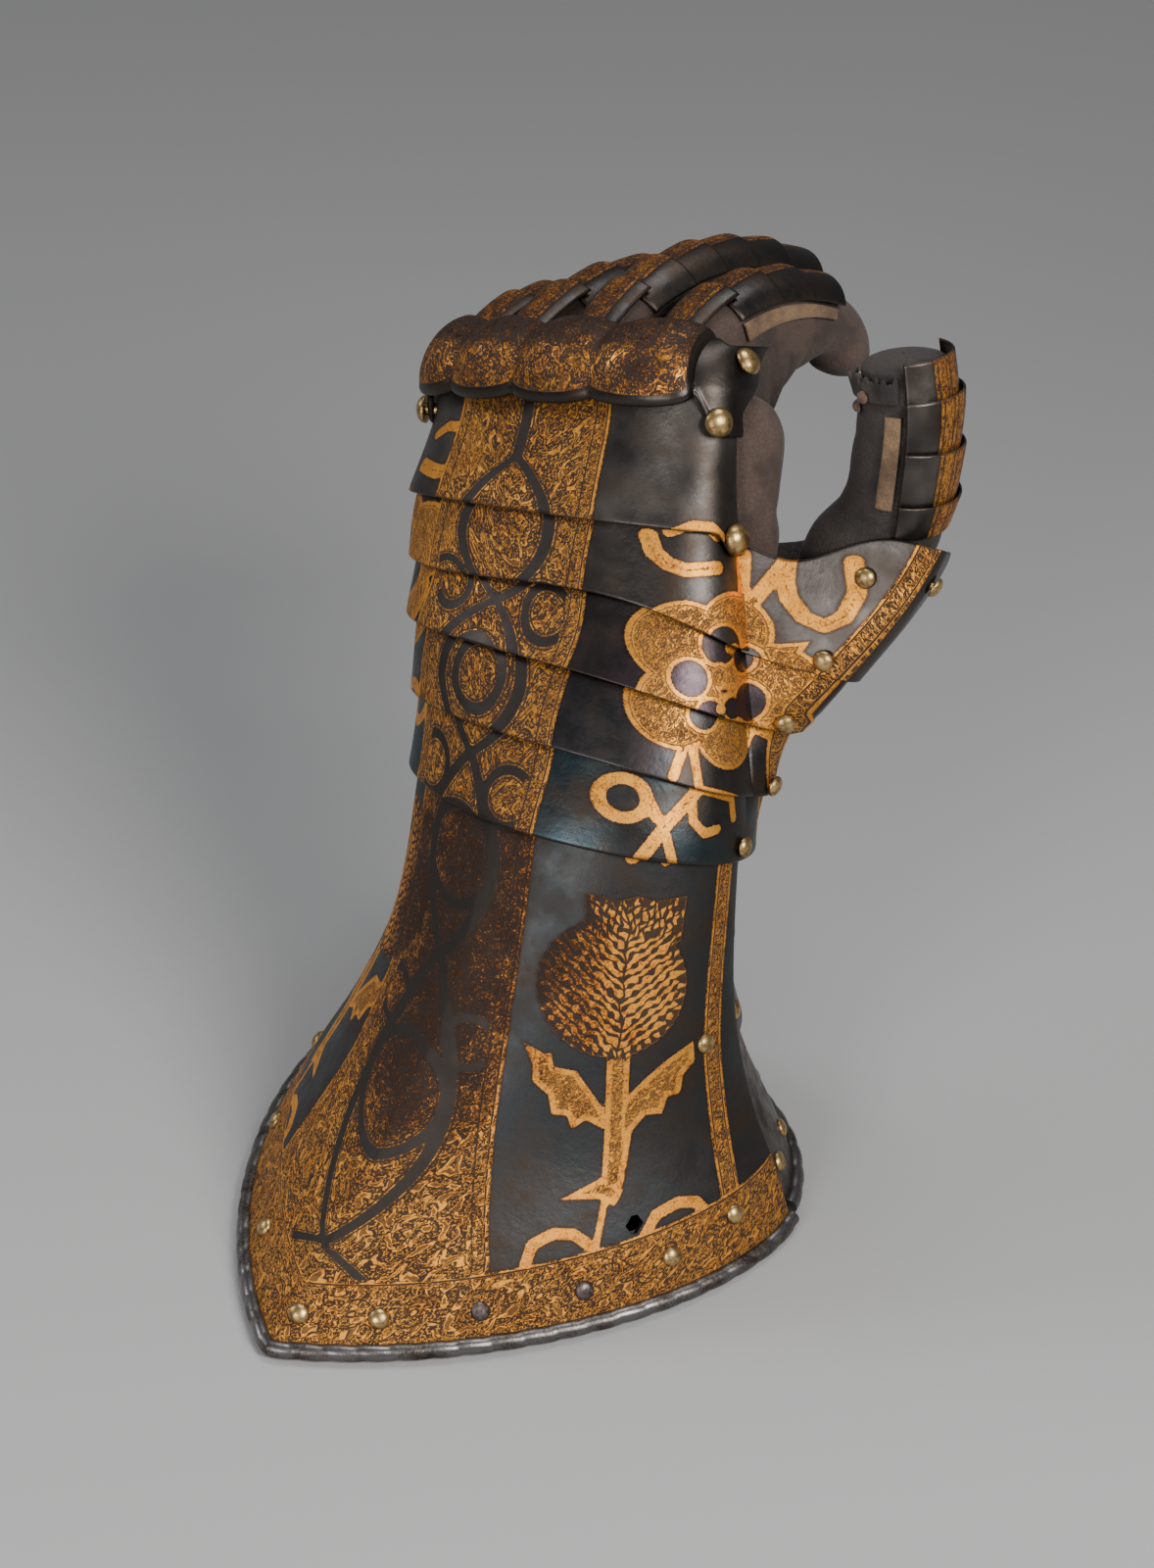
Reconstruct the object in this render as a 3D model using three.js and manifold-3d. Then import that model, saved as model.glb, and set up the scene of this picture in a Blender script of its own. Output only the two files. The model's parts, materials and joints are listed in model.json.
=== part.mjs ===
// Left-hand armoured gauntlet standing on the rim of its cuff.
// Millimetres, +Z up. +X is the thumb side, -Y the back of the hand, +Y the palm.
import * as THREE from 'three';
import { mergeVertices } from 'three/addons/utils/BufferGeometryUtils.js';
import Module from 'manifold-3d';

const wasm = await Module();
wasm.setup();

// ---------------------------------------------------------------- driving dimensions
const STEEL = 1.2;            // thickness of the steel plates
const LEATHER = 1.4;          // thickness of the glove leather
const AIR = 0.35;             // air left between pieces that touch
const LAME_FLARE = 2.8;       // how far a lame's lower edge stands off, to slide over the one below
const RIM_BEAD = 2.2;         // radius of the turned edge of the cuff
const KNUCKLE_BEND = 13;      // radius of the knuckle plate over the knuckles
const KNUCKLE_FOOT = 6;       // straight height of the plate above its pivots before that bend
const KNUCKLE_LEAN = 0.2;     // how much the plate draws in for each millimetre that it rises
const FINGER_WIDER = 0.8;     // a finger is this much wider than it is thick
const SCALE_STEEL = 0.9;      // thickness of the finger and thumb scales
const SCALE_FLARE = 1.85;     // how far a scale's free end stands off the finger
const SCALE_SPAN = 76;        // degrees that a finger scale reaches down each side
const FIRST_SPAN = 43;        // and the first one, between the domes of the knuckle plate
const SCALE_OVERLAP = 2.6;    // how far a scale laps over the next one
const RIVET = { radius: 2.5, rise: 1.6, shank: 1.1 };
const BALL_RIVET = { radius: 3.7, rise: 3.0, shank: 1.4 };
const KNUCKLE_RIVET = { radius: 3.4, rise: 2.4, shank: 1.4 };
const FACET = 0.06;           // the most that a merged facet may leave the surface
const DEG = Math.PI / 180;

// Sections of the arm and hand. Each row is a plane: its centre, its lean towards the palm and its
// tilt towards the little finger in degrees, then the half width, the depth to the back and to the
// palm, and how sharp the back is. reach and drop carry the thumb corner out and towards the palm.
// Rows 4 to 8 are the lower edges of the four lames and the metacarpal plate; 9 is the knuckle pivots.
const SECTIONS = [
  { x: 0, y: 25, z: 2.2, lean: 0, tilt: 0, half: 63.5, back: 99, palm: 48, keel: 0.38, reach: 0, drop: 0 },
  { x: 0, y: 26, z: 14, lean: 2, tilt: 0, half: 59, back: 84, palm: 45, keel: 0.36, reach: 0, drop: 0 },
  { x: 0, y: 28, z: 34, lean: 6, tilt: 0, half: 49.5, back: 60, palm: 39, keel: 0.30, reach: 0, drop: 0 },
  { x: 0, y: 31, z: 58, lean: 12, tilt: 2, half: 43, back: 41, palm: 33, keel: 0.22, reach: 0, drop: 0 },
  { x: -5, y: 40.6, z: 88, lean: 22, tilt: 5.5, half: 41.5, back: 31, palm: 31, keel: 0.12, reach: 0, drop: 0 },
  { x: -9, y: 46.6, z: 102, lean: 25, tilt: 4.5, half: 42.5, back: 28, palm: 31, keel: 0.09, reach: 5, drop: -2 },
  { x: -15, y: 53, z: 116, lean: 27, tilt: 5, half: 43.5, back: 25, palm: 31, keel: 0.06, reach: 14, drop: -3 },
  { x: -20, y: 58.4, z: 128.5, lean: 27, tilt: 7, half: 44, back: 21, palm: 31, keel: 0.03, reach: 29, drop: -2 },
  { x: -29, y: 67, z: 145.5, lean: 27, tilt: 16, half: 44, back: 18, palm: 31, keel: 0, reach: 52, drop: 7 },
  { x: -33.5, y: 76, z: 165, lean: 25, tilt: 20, half: 43, back: 15, palm: 30, keel: 0, reach: 60, drop: 9 },
  { x: -37, y: 80.5, z: 174.3, lean: 25, tilt: 21, half: 42.5, back: 14, palm: 29, keel: 0, reach: 64, drop: 9 },
];
const PIVOT_LEVEL = 9;
const CORNER_FROM = 101;      // angle round the section where the thumb corner starts to lift
const CORNER_PEAK = 125;      // where its ridge runs
const SIDE_TURN = { x: -0.5, y: 0.87, pace: 0.8, full: 52 };   // the thumb side beyond the ridge
const SEAM = 104;             // angle where the outer cuff plate ends and laps over the inner one

// Lames from the wrist up: levels of the lower edge at the sides and of the upper edge, how much
// the lower edge arches over the back, and the angles of the ends on the little and thumb sides.
const LAMES = [
  { name: 'wrist_lame_4', low: 4, high: 5.4, arch: 0, little: -115, thumb: 138, flare: 2.2 },
  { name: 'wrist_lame_3', low: 5, high: 6.28, arch: 0.2, little: -115, thumb: 142, flare: 2.7 },
  { name: 'wrist_lame_2', low: 6, high: 7.35, arch: 0.3, little: -115, thumb: 146, flare: 3.3 },
  { name: 'wrist_lame_1', low: 7, high: 8.25, arch: 0.35, little: -115, thumb: 147, flare: LAME_FLARE },
];
// The first lame's edge round the thumb: its level, with a notch, a point at the thumb's root and a
// rounded end.
const THUMB_NOTCH = 8.05;
function thumbEdge(angle) {
  const bell = (middle, half) => Math.exp(-(((angle - middle) / half) ** 2));
  return THUMB_NOTCH - 0.2 * bell(108, 7) + 0.08 * bell(118, 6) - 0.25 * smooth((angle - 134) / 13);
}

// Fingers: angle of the knuckle round the section, half its dome's width in degrees and how far the
// dome stands out of the plate, the radius of the leather, its length past the knuckle with the slope
// at its start and end, the length and last slope of the tip, and the number of scales.
const FINGERS = [
  { name: 'little', angle: -53, dome: 19, boss: 4.2, radius: 6.1, length: 46, rise: 30, fall: -24, tip: 12, curl: -60, scales: 5 },
  { name: 'ring', angle: -20, dome: 17, boss: 4.5, radius: 6.9, length: 62, rise: 33, fall: -14, tip: 14, curl: -50, scales: 5 },
  { name: 'middle', angle: 11, dome: 17, boss: 5, radius: 7.2, length: 66, rise: 41, fall: -16, tip: 14, curl: -50, scales: 6 },
  { name: 'index', angle: 45, dome: 22, boss: 5, radius: 7.5, length: 42, rise: 36, fall: -14, tip: 24, curl: -110, scales: 4 },
];
// The leather's depth under a finger, over its radius, and how far along the finger it goes.
const BELLIES = {
  little: { depth: 4, end: 40 },
  ring: { depth: 5, end: 44 },
  middle: { depth: 6, end: 46 },
  index: { depth: 16, end: 62 },
};

// Thumb: centres and radii from its root in the hand to the tip.
const THUMB = [
  { x: 8, y: 78, z: 125, radius: 7 },
  { x: 37.6, y: 93, z: 136, radius: 9 },
  { x: 41, y: 95, z: 153, radius: 11.2 },
  { x: 41.5, y: 97.5, z: 170, radius: 11.6 },
  { x: 40, y: 101, z: 187, radius: 10.8 },
  { x: 37, y: 103, z: 200, radius: 9.5 },
];
const THUMB_LAMES = [
  { low: 0.485, high: 0.58, flare: 1.7 },
  { low: 0.54, high: 0.71, flare: 1.7 },
  { low: 0.67, high: 0.85, flare: 1.7 },
  { low: 0.81, high: 0.98, flare: 0.6 },
];
const THUMB_SPAN = [-54, 80]; // angles of a thumb lame's ends, 0 facing the thumb side

// ---------------------------------------------------------------- section surface
function column(name, at) {
  const last = SECTIONS.length - 1;
  const s = Math.min(Math.max(at, 0), last - 1e-9);
  const i = Math.floor(s);
  const u = s - i;
  const p = (k) => SECTIONS[Math.min(Math.max(k, 0), last)][name];
  const m0 = (p(i + 1) - p(i - 1)) / (i === 0 ? 1 : 2);
  const m1 = (p(i + 2) - p(i)) / (i + 1 === last ? 1 : 2);
  const u2 = u * u;
  const u3 = u2 * u;
  return (2 * u3 - 3 * u2 + 1) * p(i) + (u3 - 2 * u2 + u) * m0
    + (3 * u2 - 2 * u3) * p(i + 1) + (u3 - u2) * m1;
}

const clamp01 = (u) => Math.min(Math.max(u, 0), 1);
const smooth = (u) => clamp01(u) ** 2 * (3 - 2 * clamp01(u));
const mix = (a, b, u) => a + (b - a) * u;
const spread = (from, to, count) => Array.from({ length: count }, (_, n) => mix(from, to, n / (count - 1)));

// A point of the section in its own plane; angle 0 is the back, +90 the thumb side.
function roundPoint(at, angle) {
  const f = angle * DEG;
  const keel = column('keel', at);
  const sine = Math.sin(f);
  const cosine = Math.cos(f);
  const depth = cosine >= 0
    ? -column('back', at) * ((1 - keel) * cosine + keel * (1 - Math.abs(sine)))
    : -column('palm', at) * cosine;
  return new THREE.Vector2(column('half', at) * sine, depth);
}

// The same with the thumb corner: out to a ridge, then back round the thumb towards the palm.
function flatPoint(at, angle, wing) {
  const base = roundPoint(at, angle);
  const reach = column('reach', at);
  if (!wing || angle <= CORNER_FROM || reach < 0.01) return base;
  const lift = clamp01((angle - CORNER_FROM) / (CORNER_PEAK - CORNER_FROM));
  const corner = new THREE.Vector2(lift * reach, lift * column('drop', at));
  if (angle <= CORNER_PEAK) return base.add(corner);
  const beyond = (angle - CORNER_PEAK) * SIDE_TURN.pace * reach / SIDE_TURN.full;
  const side = roundPoint(at, CORNER_PEAK).add(corner)
    .add(new THREE.Vector2(SIDE_TURN.x, SIDE_TURN.y).multiplyScalar(beyond));
  return base.lerp(side, smooth(reach / 20));
}

function frameAt(at) {
  const turn = new THREE.Matrix4().makeRotationX(-column('lean', at) * DEG);
  turn.premultiply(new THREE.Matrix4().makeRotationY(-column('tilt', at) * DEG));
  turn.setPosition(column('x', at), column('y', at), column('z', at));
  return turn;
}

function flatNormal(at, angle, wing) {
  const ahead = flatPoint(at, angle + 1.5, wing);
  const behind = flatPoint(at, angle - 1.5, wing);
  return new THREE.Vector2(ahead.y - behind.y, -(ahead.x - behind.x)).normalize();
}

// A point of the gauntlet's surface, out by `out` millimetres square to the section curve.
function surface(at, angle, out = 0, wing = true) {
  const p = flatPoint(at, angle, wing).addScaledVector(flatNormal(at, angle, wing), out);
  return new THREE.Vector3(p.x, p.y, 0).applyMatrix4(frameAt(at));
}

function surfaceNormal(at, angle, wing = true) {
  const round = surface(at, angle + 1, 0, wing).sub(surface(at, angle - 1, 0, wing));
  const up = surface(at + 0.05, angle, 0, wing).sub(surface(at - 0.05, angle, 0, wing));
  return round.cross(up).normalize();
}

// ---------------------------------------------------------------- knuckle surface
const knuckleFrame = frameAt(PIVOT_LEVEL);
const acrossHand = new THREE.Vector3(1, 0, 0).transformDirection(knuckleFrame);
const towardPalm = new THREE.Vector3(0, 1, 0).transformDirection(knuckleFrame);
const alongHand = new THREE.Vector3(0, 0, 1).transformDirection(knuckleFrame);
const knuckleCentre = new THREE.Vector3().setFromMatrixPosition(knuckleFrame);

const KNUCKLE_STAND = 2.6;    // the plate's inner face stands this far off the hand
const KNUCKLE_END = 74 * DEG * KNUCKLE_BEND;
function domeAt(angle) {
  let height = 0;
  for (const finger of FINGERS) {
    const off = (angle - finger.angle) / finger.dome;
    height = Math.max(height, finger.boss * Math.sqrt(Math.max(0, 1 - off * off)));
  }
  return height;
}

// The knuckle plate's profile: up the back of the hand, then round the knuckles to the fingers.
function knucklePoint(angle, along, out) {
  const foot = surface(PIVOT_LEVEL, angle, KNUCKLE_STAND, false);
  const facing = foot.clone().sub(surface(PIVOT_LEVEL, angle, 0, false)).normalize();
  const bend = Math.max(along, 0) / KNUCKLE_BEND;
  const straight = Math.min(along, 0);
  const rise = KNUCKLE_FOOT + straight + KNUCKLE_BEND * Math.sin(bend);
  const arch = Math.sin(Math.PI * clamp01((along + 6) / (KNUCKLE_END + 15))) ** 0.7;
  const lift = out + domeAt(angle) * arch;
  const sideways = foot.clone().sub(knuckleCentre).dot(acrossHand);
  return foot
    .addScaledVector(acrossHand, -KNUCKLE_LEAN * Math.max(rise - 8, 0) * sideways / 40)
    .addScaledVector(alongHand, rise + lift * Math.sin(bend))
    .addScaledVector(towardPalm, KNUCKLE_BEND * (1 - Math.cos(bend)))
    .addScaledVector(facing, lift * Math.cos(bend));
}

// ---------------------------------------------------------------- closed bodies
function geometryOf(points, triangles) {
  const geometry = new THREE.BufferGeometry();
  const flat = points.flatMap((p) => [p.x, p.y, p.z]);
  geometry.setAttribute('position', new THREE.Float32BufferAttribute(flat, 3));
  geometry.setIndex(triangles.flat());
  return geometry;
}

// A closed plate from two grids of points, outer and inner, both `rows` by `columns`.
function shell(rows, columns, outer, inner) {
  const points = [];
  for (const grid of [outer, inner]) {
    for (let r = 0; r < rows; r += 1) {
      for (let c = 0; c < columns; c += 1) points.push(grid(r, c));
    }
  }
  const out = (r, c) => r * columns + c;
  const inn = (r, c) => rows * columns + r * columns + c;
  const triangles = [];
  const quad = (a, b, c, d) => triangles.push([a, b, c], [a, c, d]);
  for (let r = 0; r < rows - 1; r += 1) {
    for (let c = 0; c < columns - 1; c += 1) {
      quad(out(r, c), out(r, c + 1), out(r + 1, c + 1), out(r + 1, c));
      quad(inn(r, c), inn(r + 1, c), inn(r + 1, c + 1), inn(r, c + 1));
    }
    quad(out(r + 1, 0), inn(r + 1, 0), inn(r, 0), out(r, 0));
    quad(out(r, columns - 1), inn(r, columns - 1), inn(r + 1, columns - 1), out(r + 1, columns - 1));
  }
  for (let c = 0; c < columns - 1; c += 1) {
    quad(out(0, c), inn(0, c), inn(0, c + 1), out(0, c + 1));
    quad(out(rows - 1, c + 1), inn(rows - 1, c + 1), inn(rows - 1, c), out(rows - 1, c));
  }
  return geometryOf(points, triangles);
}

// A closed body through rings of points, with a flat fan at each end.
function loft(rings) {
  const sides = rings[0].length;
  const points = rings.flat();
  const triangles = [];
  const at = (r, s) => r * sides + (s % sides);
  for (let r = 0; r < rings.length - 1; r += 1) {
    for (let s = 0; s < sides; s += 1) {
      triangles.push([at(r, s), at(r, s + 1), at(r + 1, s + 1)], [at(r, s), at(r + 1, s + 1), at(r + 1, s)]);
    }
  }
  const middle = (ring) => ring.reduce((sum, p) => sum.add(p), new THREE.Vector3()).divideScalar(sides);
  const first = points.push(middle(rings[0])) - 1;
  const last = points.push(middle(rings[rings.length - 1])) - 1;
  for (let s = 0; s < sides; s += 1) {
    triangles.push([first, at(0, s + 1), at(0, s)]);
    triangles.push([last, at(rings.length - 1, s), at(rings.length - 1, s + 1)]);
  }
  return geometryOf(points, triangles);
}

function solidOf(geometry) {
  const bare = geometry.clone();
  for (const name of Object.keys(bare.attributes)) {
    if (name !== 'position') bare.deleteAttribute(name);
  }
  const merged = mergeVertices(bare, 1e-4);
  return new wasm.Manifold(new wasm.Mesh({
    numProp: 3,
    vertProperties: Float32Array.from(merged.attributes.position.array),
    triVerts: Uint32Array.from(merged.index.array),
  }));
}

function geometryFrom(solid) {
  const mesh = solid.simplify(FACET).getMesh();
  const geometry = new THREE.BufferGeometry();
  geometry.setAttribute('position', new THREE.Float32BufferAttribute(mesh.vertProperties, 3));
  geometry.setIndex(Array.from(mesh.triVerts));
  return geometry;
}

const joined = (list) => geometryFrom(list.map(solidOf).reduce((a, b) => a.add(b)));
const cutBy = (geometry, tools) => geometryFrom(tools.map(solidOf).reduce((a, b) => a.subtract(b), solidOf(geometry)));

// A plate on the section surface, through a row of angles. low and high give its edge levels at an
// angle; offset gives how far its inner face stands off the surface at a part of its height.
function plate({ angles, low, high, rows, offset, wing = true }) {
  const grid = (out) => (r, c) => {
    const angle = angles[c];
    const part = r / (rows - 1);
    return surface(mix(low(angle), high(angle), part), angle, out + offset(part), wing);
  };
  return shell(rows, angles.length, grid(STEEL), grid(0));
}

// ---------------------------------------------------------------- rivets
const RIVET_SIDES = 6;

// A domed head on a shank, at a point and facing along a direction; the shank goes `depth` inwards.
function rivetBody(size, point, facing, depth) {
  const profile = [new THREE.Vector2(0, -depth), new THREE.Vector2(size.shank, -depth), new THREE.Vector2(size.shank, 0)];
  for (const part of [0, 0.5]) {
    const f = part * Math.PI / 2;
    profile.push(new THREE.Vector2(size.radius * Math.cos(f), size.rise * Math.sin(f)));
  }
  profile.push(new THREE.Vector2(0, size.rise));
  const body = new THREE.LatheGeometry(profile, RIVET_SIDES);
  body.applyQuaternion(new THREE.Quaternion().setFromUnitVectors(new THREE.Vector3(0, 1, 0), facing));
  body.translate(point.x, point.y, point.z);
  return body;
}

function drillBody(radius, point, facing, sides = RIVET_SIDES) {
  const body = new THREE.CylinderGeometry(radius, radius, 10, sides);
  body.applyQuaternion(new THREE.Quaternion().setFromUnitVectors(new THREE.Vector3(0, 1, 0), facing));
  body.translate(point.x, point.y, point.z);
  return body;
}

// ---------------------------------------------------------------- scene graph
const group = new THREE.Group();
function add(name, geometry, colour, roughness, metalness) {
  const material = new THREE.MeshStandardMaterial({ color: colour, roughness, metalness });
  const mesh = new THREE.Mesh(geometry, material);
  mesh.name = name;
  group.add(mesh);
  return mesh;
}
const steel = (name, geometry) => add(name, geometry, 0x3a3532, 0.4, 0.9);
const leather = (name, geometry) => add(name, geometry, 0x4a3a30, 0.85, 0);
const suede = (name, geometry) => add(name, geometry, 0x9a7650, 0.9, 0);
const brass = (name, geometry) => add(name, geometry, 0xa07c3c, 0.35, 0.9);

// ---------------------------------------------------------------- pivots
// Each pivot joins a lame to the piece below it; angles are round the section, on each side.
const PIVOTS = [
  { name: 'pivot_4', level: 4.17, thumb: 97, little: -97, stand: 2.5, plates: ['cuff_outer_plate', 'wrist_lame_4'] },
  { name: 'pivot_3', level: 5.17, thumb: 117, little: -99, stand: 3.1, plates: ['wrist_lame_4', 'wrist_lame_3'] },
  { name: 'pivot_2', level: 6.17, thumb: 118, little: -99, stand: 3.1, plates: ['wrist_lame_3', 'wrist_lame_2'] },
  { name: 'pivot_1', level: 7.15, thumb: 119, little: -99, stand: 3.1, plates: ['wrist_lame_2', 'wrist_lame_1'] },
];

const level = (value) => () => value;
const drills = {};
const rivets = [];
function pin(name, size, point, facing, plates, depth) {
  rivets.push({ name, geometry: rivetBody(size, point, facing, depth) });
  for (const plateName of plates) {
    drills[plateName] = drills[plateName] || [];
    drills[plateName].push(drillBody(size.shank + AIR, point, facing));
  }
}
for (const pivot of PIVOTS) {
  for (const side of ['thumb', 'little']) {
    const lame = LAMES.find((row) => row.name === pivot.plates[1]);
    const part = (pivot.level - lame.low) / (lame.high - lame.low);
    const stand = lame.flare * (1 - part) + 0.3 + STEEL + AIR + 0.3;
    const point = surface(pivot.level, pivot[side], stand);
    pin(`${pivot.name}_${side}_side`, RIVET, point, surfaceNormal(pivot.level, pivot[side]), pivot.plates, 4.6);
  }
}

// The metacarpal plate is pinned to the first lame, and the knuckle plate turns on the metacarpal
// plate and holds the glove by a second rivet at each end.
const BALL_LEVEL = 7.97;
for (const [side, angle] of [['thumb', 92.5], ['little', -95]]) {
  const point = surface(BALL_LEVEL, angle, 4.3, false);
  pin(`ball_rivet_${side}_side`, BALL_RIVET, point, surfaceNormal(BALL_LEVEL, angle, false),
    ['metacarpal_plate', 'wrist_lame_1'], 4.4);
}
const KNUCKLE_PINS = [
  { name: 'knuckle_pivot_thumb_side', angle: 80, along: -5.5, plates: ['knuckle_plate', 'metacarpal_plate'], depth: 4.1 },
  { name: 'knuckle_pivot_little_side', angle: -80, along: -5.5, plates: ['knuckle_plate', 'metacarpal_plate'], depth: 4.1 },
  { name: 'knuckle_rivet_thumb_side', angle: 94, along: 7.5, plates: ['knuckle_plate'], depth: 2.6 },
  { name: 'knuckle_rivet_little_side', angle: -91, along: 7.5, plates: ['knuckle_plate'], depth: 2.6 },
];
for (const { name, angle, along, plates, depth } of KNUCKLE_PINS) {
  const facing = knucklePoint(angle, along, 1).sub(knucklePoint(angle, along, 0)).normalize();
  pin(name, KNUCKLE_RIVET, knucklePoint(angle, along, STEEL + AIR + 0.6), facing, plates, depth);
}
// Two more rivets hold the glove to the first lame at the root of the thumb.
for (const [index, angle] of [118, 127].entries()) {
  const at = 7.8;
  pin(`thumb_rivet_${index + 1}`, RIVET, surface(at, angle, 2.9), surfaceNormal(at, angle), ['wrist_lame_1'], 3);
}

// ---------------------------------------------------------------- cuff
const place = (name, geometry) => steel(name, drills[name] ? cutBy(geometry, drills[name]) : geometry);

// The turned edge of the cuff: a six-sided bead with a flat underneath, along the rim.
function rimBead(from, to, columns, out) {
  const rings = [];
  for (let c = 0; c < columns; c += 1) {
    const angle = mix(from, to, c / (columns - 1));
    const centre = surface(0, angle, out);
    const inward = flatNormal(0, angle, false);
    const facing = Math.abs(angle) < 1 ? new THREE.Vector2(0, -1.13) : inward;
    const ring = [];
    for (let s = 0; s < 6; s += 1) {
      const f = 60 * s * DEG;
      const reach = RIM_BEAD / Math.cos(30 * DEG);
      ring.push(new THREE.Vector3(
        centre.x + facing.x * reach * Math.cos(f),
        centre.y + facing.y * reach * Math.cos(f),
        RIM_BEAD + reach * Math.sin(f),
      ));
    }
    rings.push(ring.reverse());
  }
  return loft(rings);
}

function studs(rows, stand) {
  return rows.map(({ angle, at }) => (
    rivetBody(RIVET, surface(at, angle, stand), surfaceNormal(at, angle), 0.8)));
}
// Rivets of the lining along the rim, then the one that holds the two cuff plates on each side.
const RIM_STUDS = [
  { angle: -90, at: 0.95 }, { angle: -72, at: 0.8 }, { angle: -50, at: 0.55 }, { angle: -22, at: 0.5 },
  { angle: 1.5, at: 0.45 }, { angle: 15.5, at: 0.45 }, { angle: 32, at: 0.5 }, { angle: 49.5, at: 0.58 },
  { angle: 66.5, at: 0.74 }, { angle: 83, at: 0.95 }, { angle: 83, at: 2.72 }, { angle: -83, at: 2.72 },
];
const INNER_STUDS = [112, 127, 150, 180, 210, 233, 248].map((angle) => ({ angle, at: 0.85 }));
// A small lozenge-shaped hole low on the thumb side of the outer plate.
const LACE_HOLE = { angle: 58.5, at: 1.26, radius: 2.1 };
drills.cuff_outer_plate.push(drillBody(
  LACE_HOLE.radius, surface(LACE_HOLE.at, LACE_HOLE.angle), surfaceNormal(LACE_HOLE.at, LACE_HOLE.angle), 4));
const LAP = STEEL + AIR;      // how far a plate lies under the one that laps over it

place('cuff_outer_plate', joined([
  plate({ angles: spread(-SEAM, SEAM, 25), low: level(0), high: level(4.35), rows: 7, offset: () => 0 }),
  rimBead(-SEAM, SEAM, 25, 1.2),
  ...studs(RIM_STUDS, STEEL - 0.1),
]));

// The palm side of the cuff: a plate and two lames, each lapping over the one below it, and all
// under the side edges of the outer plate. low and high are levels of the edges.
const INNER_ANGLES = [SEAM - 6, SEAM + 1.5, ...spread(SEAM + 9, 351 - SEAM, 10), 358.5 - SEAM, 366 - SEAM];
const innerPlate = (low, high, rows, foot, head) => plate({
  angles: INNER_ANGLES, low, high: level(high), rows, offset: (part) => mix(-foot, -head, part),
});
const clearOfBead = (angle) => (Math.abs(angle - 180) > 180 - SEAM - 3 ? 0.42 : 0);
place('cuff_inner_plate', joined([
  innerPlate(clearOfBead, 2.7, 5, LAP, 2 * LAP + 0.6),
  rimBead(SEAM + 4, 356 - SEAM, 13, 1.2 - LAP),
  ...studs(INNER_STUDS, STEEL - LAP - 0.9),
]));
steel('wrist_inner_lame_lower', joined([
  innerPlate(level(2.5), 3.5, 4, LAP, 2 * LAP + 0.6), 
  ...studs([{ angle: SEAM + 7, at: 2.75 }, { angle: 353 - SEAM, at: 2.75 }], STEEL - LAP - 0.5),
]));
steel('wrist_inner_lame_upper', joined([
  innerPlate(level(3.3), 4.3, 4, LAP, 2 * LAP), 
  ...studs([{ angle: SEAM + 8, at: 3.9 }, { angle: 352 - SEAM, at: 3.9 }], STEEL - LAP - 1.1),
]));

// ---------------------------------------------------------------- lames
const ARCH_CENTRE = 30;
for (const lame of LAMES) {
  const arch = (angle) => lame.arch * Math.max(0, Math.cos((angle - ARCH_CENTRE) * DEG)) ** 2;
  const first = lame.name === 'wrist_lame_1';
  const wingTop = first ? thumbEdge : level(lame.high - 0.15);
  const top = (angle) => mix(lame.high, wingTop(angle), smooth((angle - 94) / 10));
  const corner = first ? [105, 109, 113, 117, 121] : [109, 117];
  const wingAngles = spread(CORNER_PEAK, lame.thumb, first ? 4 : 3);
  place(lame.name, plate({
    angles: [...spread(lame.little, 95, 16), CORNER_FROM, ...corner, ...wingAngles],
    low: (angle) => lame.low + arch(angle), high: top, rows: 3,
    offset: (part) => lame.flare * (1 - part) + 0.3,
  }));
}

// Its lower edge drops in a lobe round each of its two rivets.
const metacarpalFoot = (angle) => 8 - 0.17 * smooth(1 - (Math.abs(Math.abs(angle) - 94) - 3) / 9);
place('metacarpal_plate', plate({
  angles: [...spread(-112, 72, 15), 79, 86, 92.5, 97], low: metacarpalFoot, high: level(9.8),
  rows: 5, wing: false,
  offset: (part) => LAME_FLARE * (1 - part) ** 2.5 + 0.3,
}));

// ---------------------------------------------------------------- knuckles
function knuckleEdges(angle) {
  const side = smooth((Math.abs(angle) - 66) / 16);
  const scallop = 0.3 * domeAt(angle);
  return {
    low: mix(-0.5 - scallop, -8.8, side),
    high: mix(KNUCKLE_END, 58 * DEG * KNUCKLE_BEND, side),
  };
}

// The plate's side edges draw in towards its foot, in degrees.
function knuckleTuck(angle, along) {
  return Math.sign(angle) * 12 * smooth((Math.abs(angle) - 84) / 20) * smooth((4 - along) / 8);
}

function knucklePlate() {
  const columns = 29;
  const rows = 7;
  const angleAt = (c) => mix(-104, 108, c / (columns - 1));
  const grid = (out) => (r, c) => {
    const angle = angleAt(c);
    const edge = knuckleEdges(angle);
    const along = mix(edge.low, edge.high, r / (rows - 1));
    return knucklePoint(angle - knuckleTuck(angle, along), along, out);
  };
  return shell(rows, columns, grid(STEEL), grid(0));
}
place('knuckle_plate', knucklePlate());

// ---------------------------------------------------------------- fingers
const KNUCKLE_RUN = 10;       // a finger's way up out of the hand
const KNUCKLE_TURN = 12;      // and its way round the knuckle
const FINGER_STEP = 3;
const FINGER_SIDES = 8;
const FIRST_SCALE = 17;       // the first scale starts here, under the knuckle plate
const SECOND_SCALE = 20;

// The slope of a finger along its length, in degrees above the way to the palm.
function fingerSlope(finger, s) {
  const straightFrom = KNUCKLE_RUN + KNUCKLE_TURN;
  if (s < KNUCKLE_RUN) return 90;
  if (s < straightFrom) return mix(90, finger.rise, (s - KNUCKLE_RUN) / KNUCKLE_TURN);
  if (s < straightFrom + finger.length) return mix(finger.rise, finger.fall, (s - straightFrom) / finger.length);
  return mix(finger.fall, finger.curl, (s - straightFrom - finger.length) / finger.tip);
}
const fingerReach = (finger) => KNUCKLE_RUN + KNUCKLE_TURN + finger.length + finger.tip;

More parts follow.
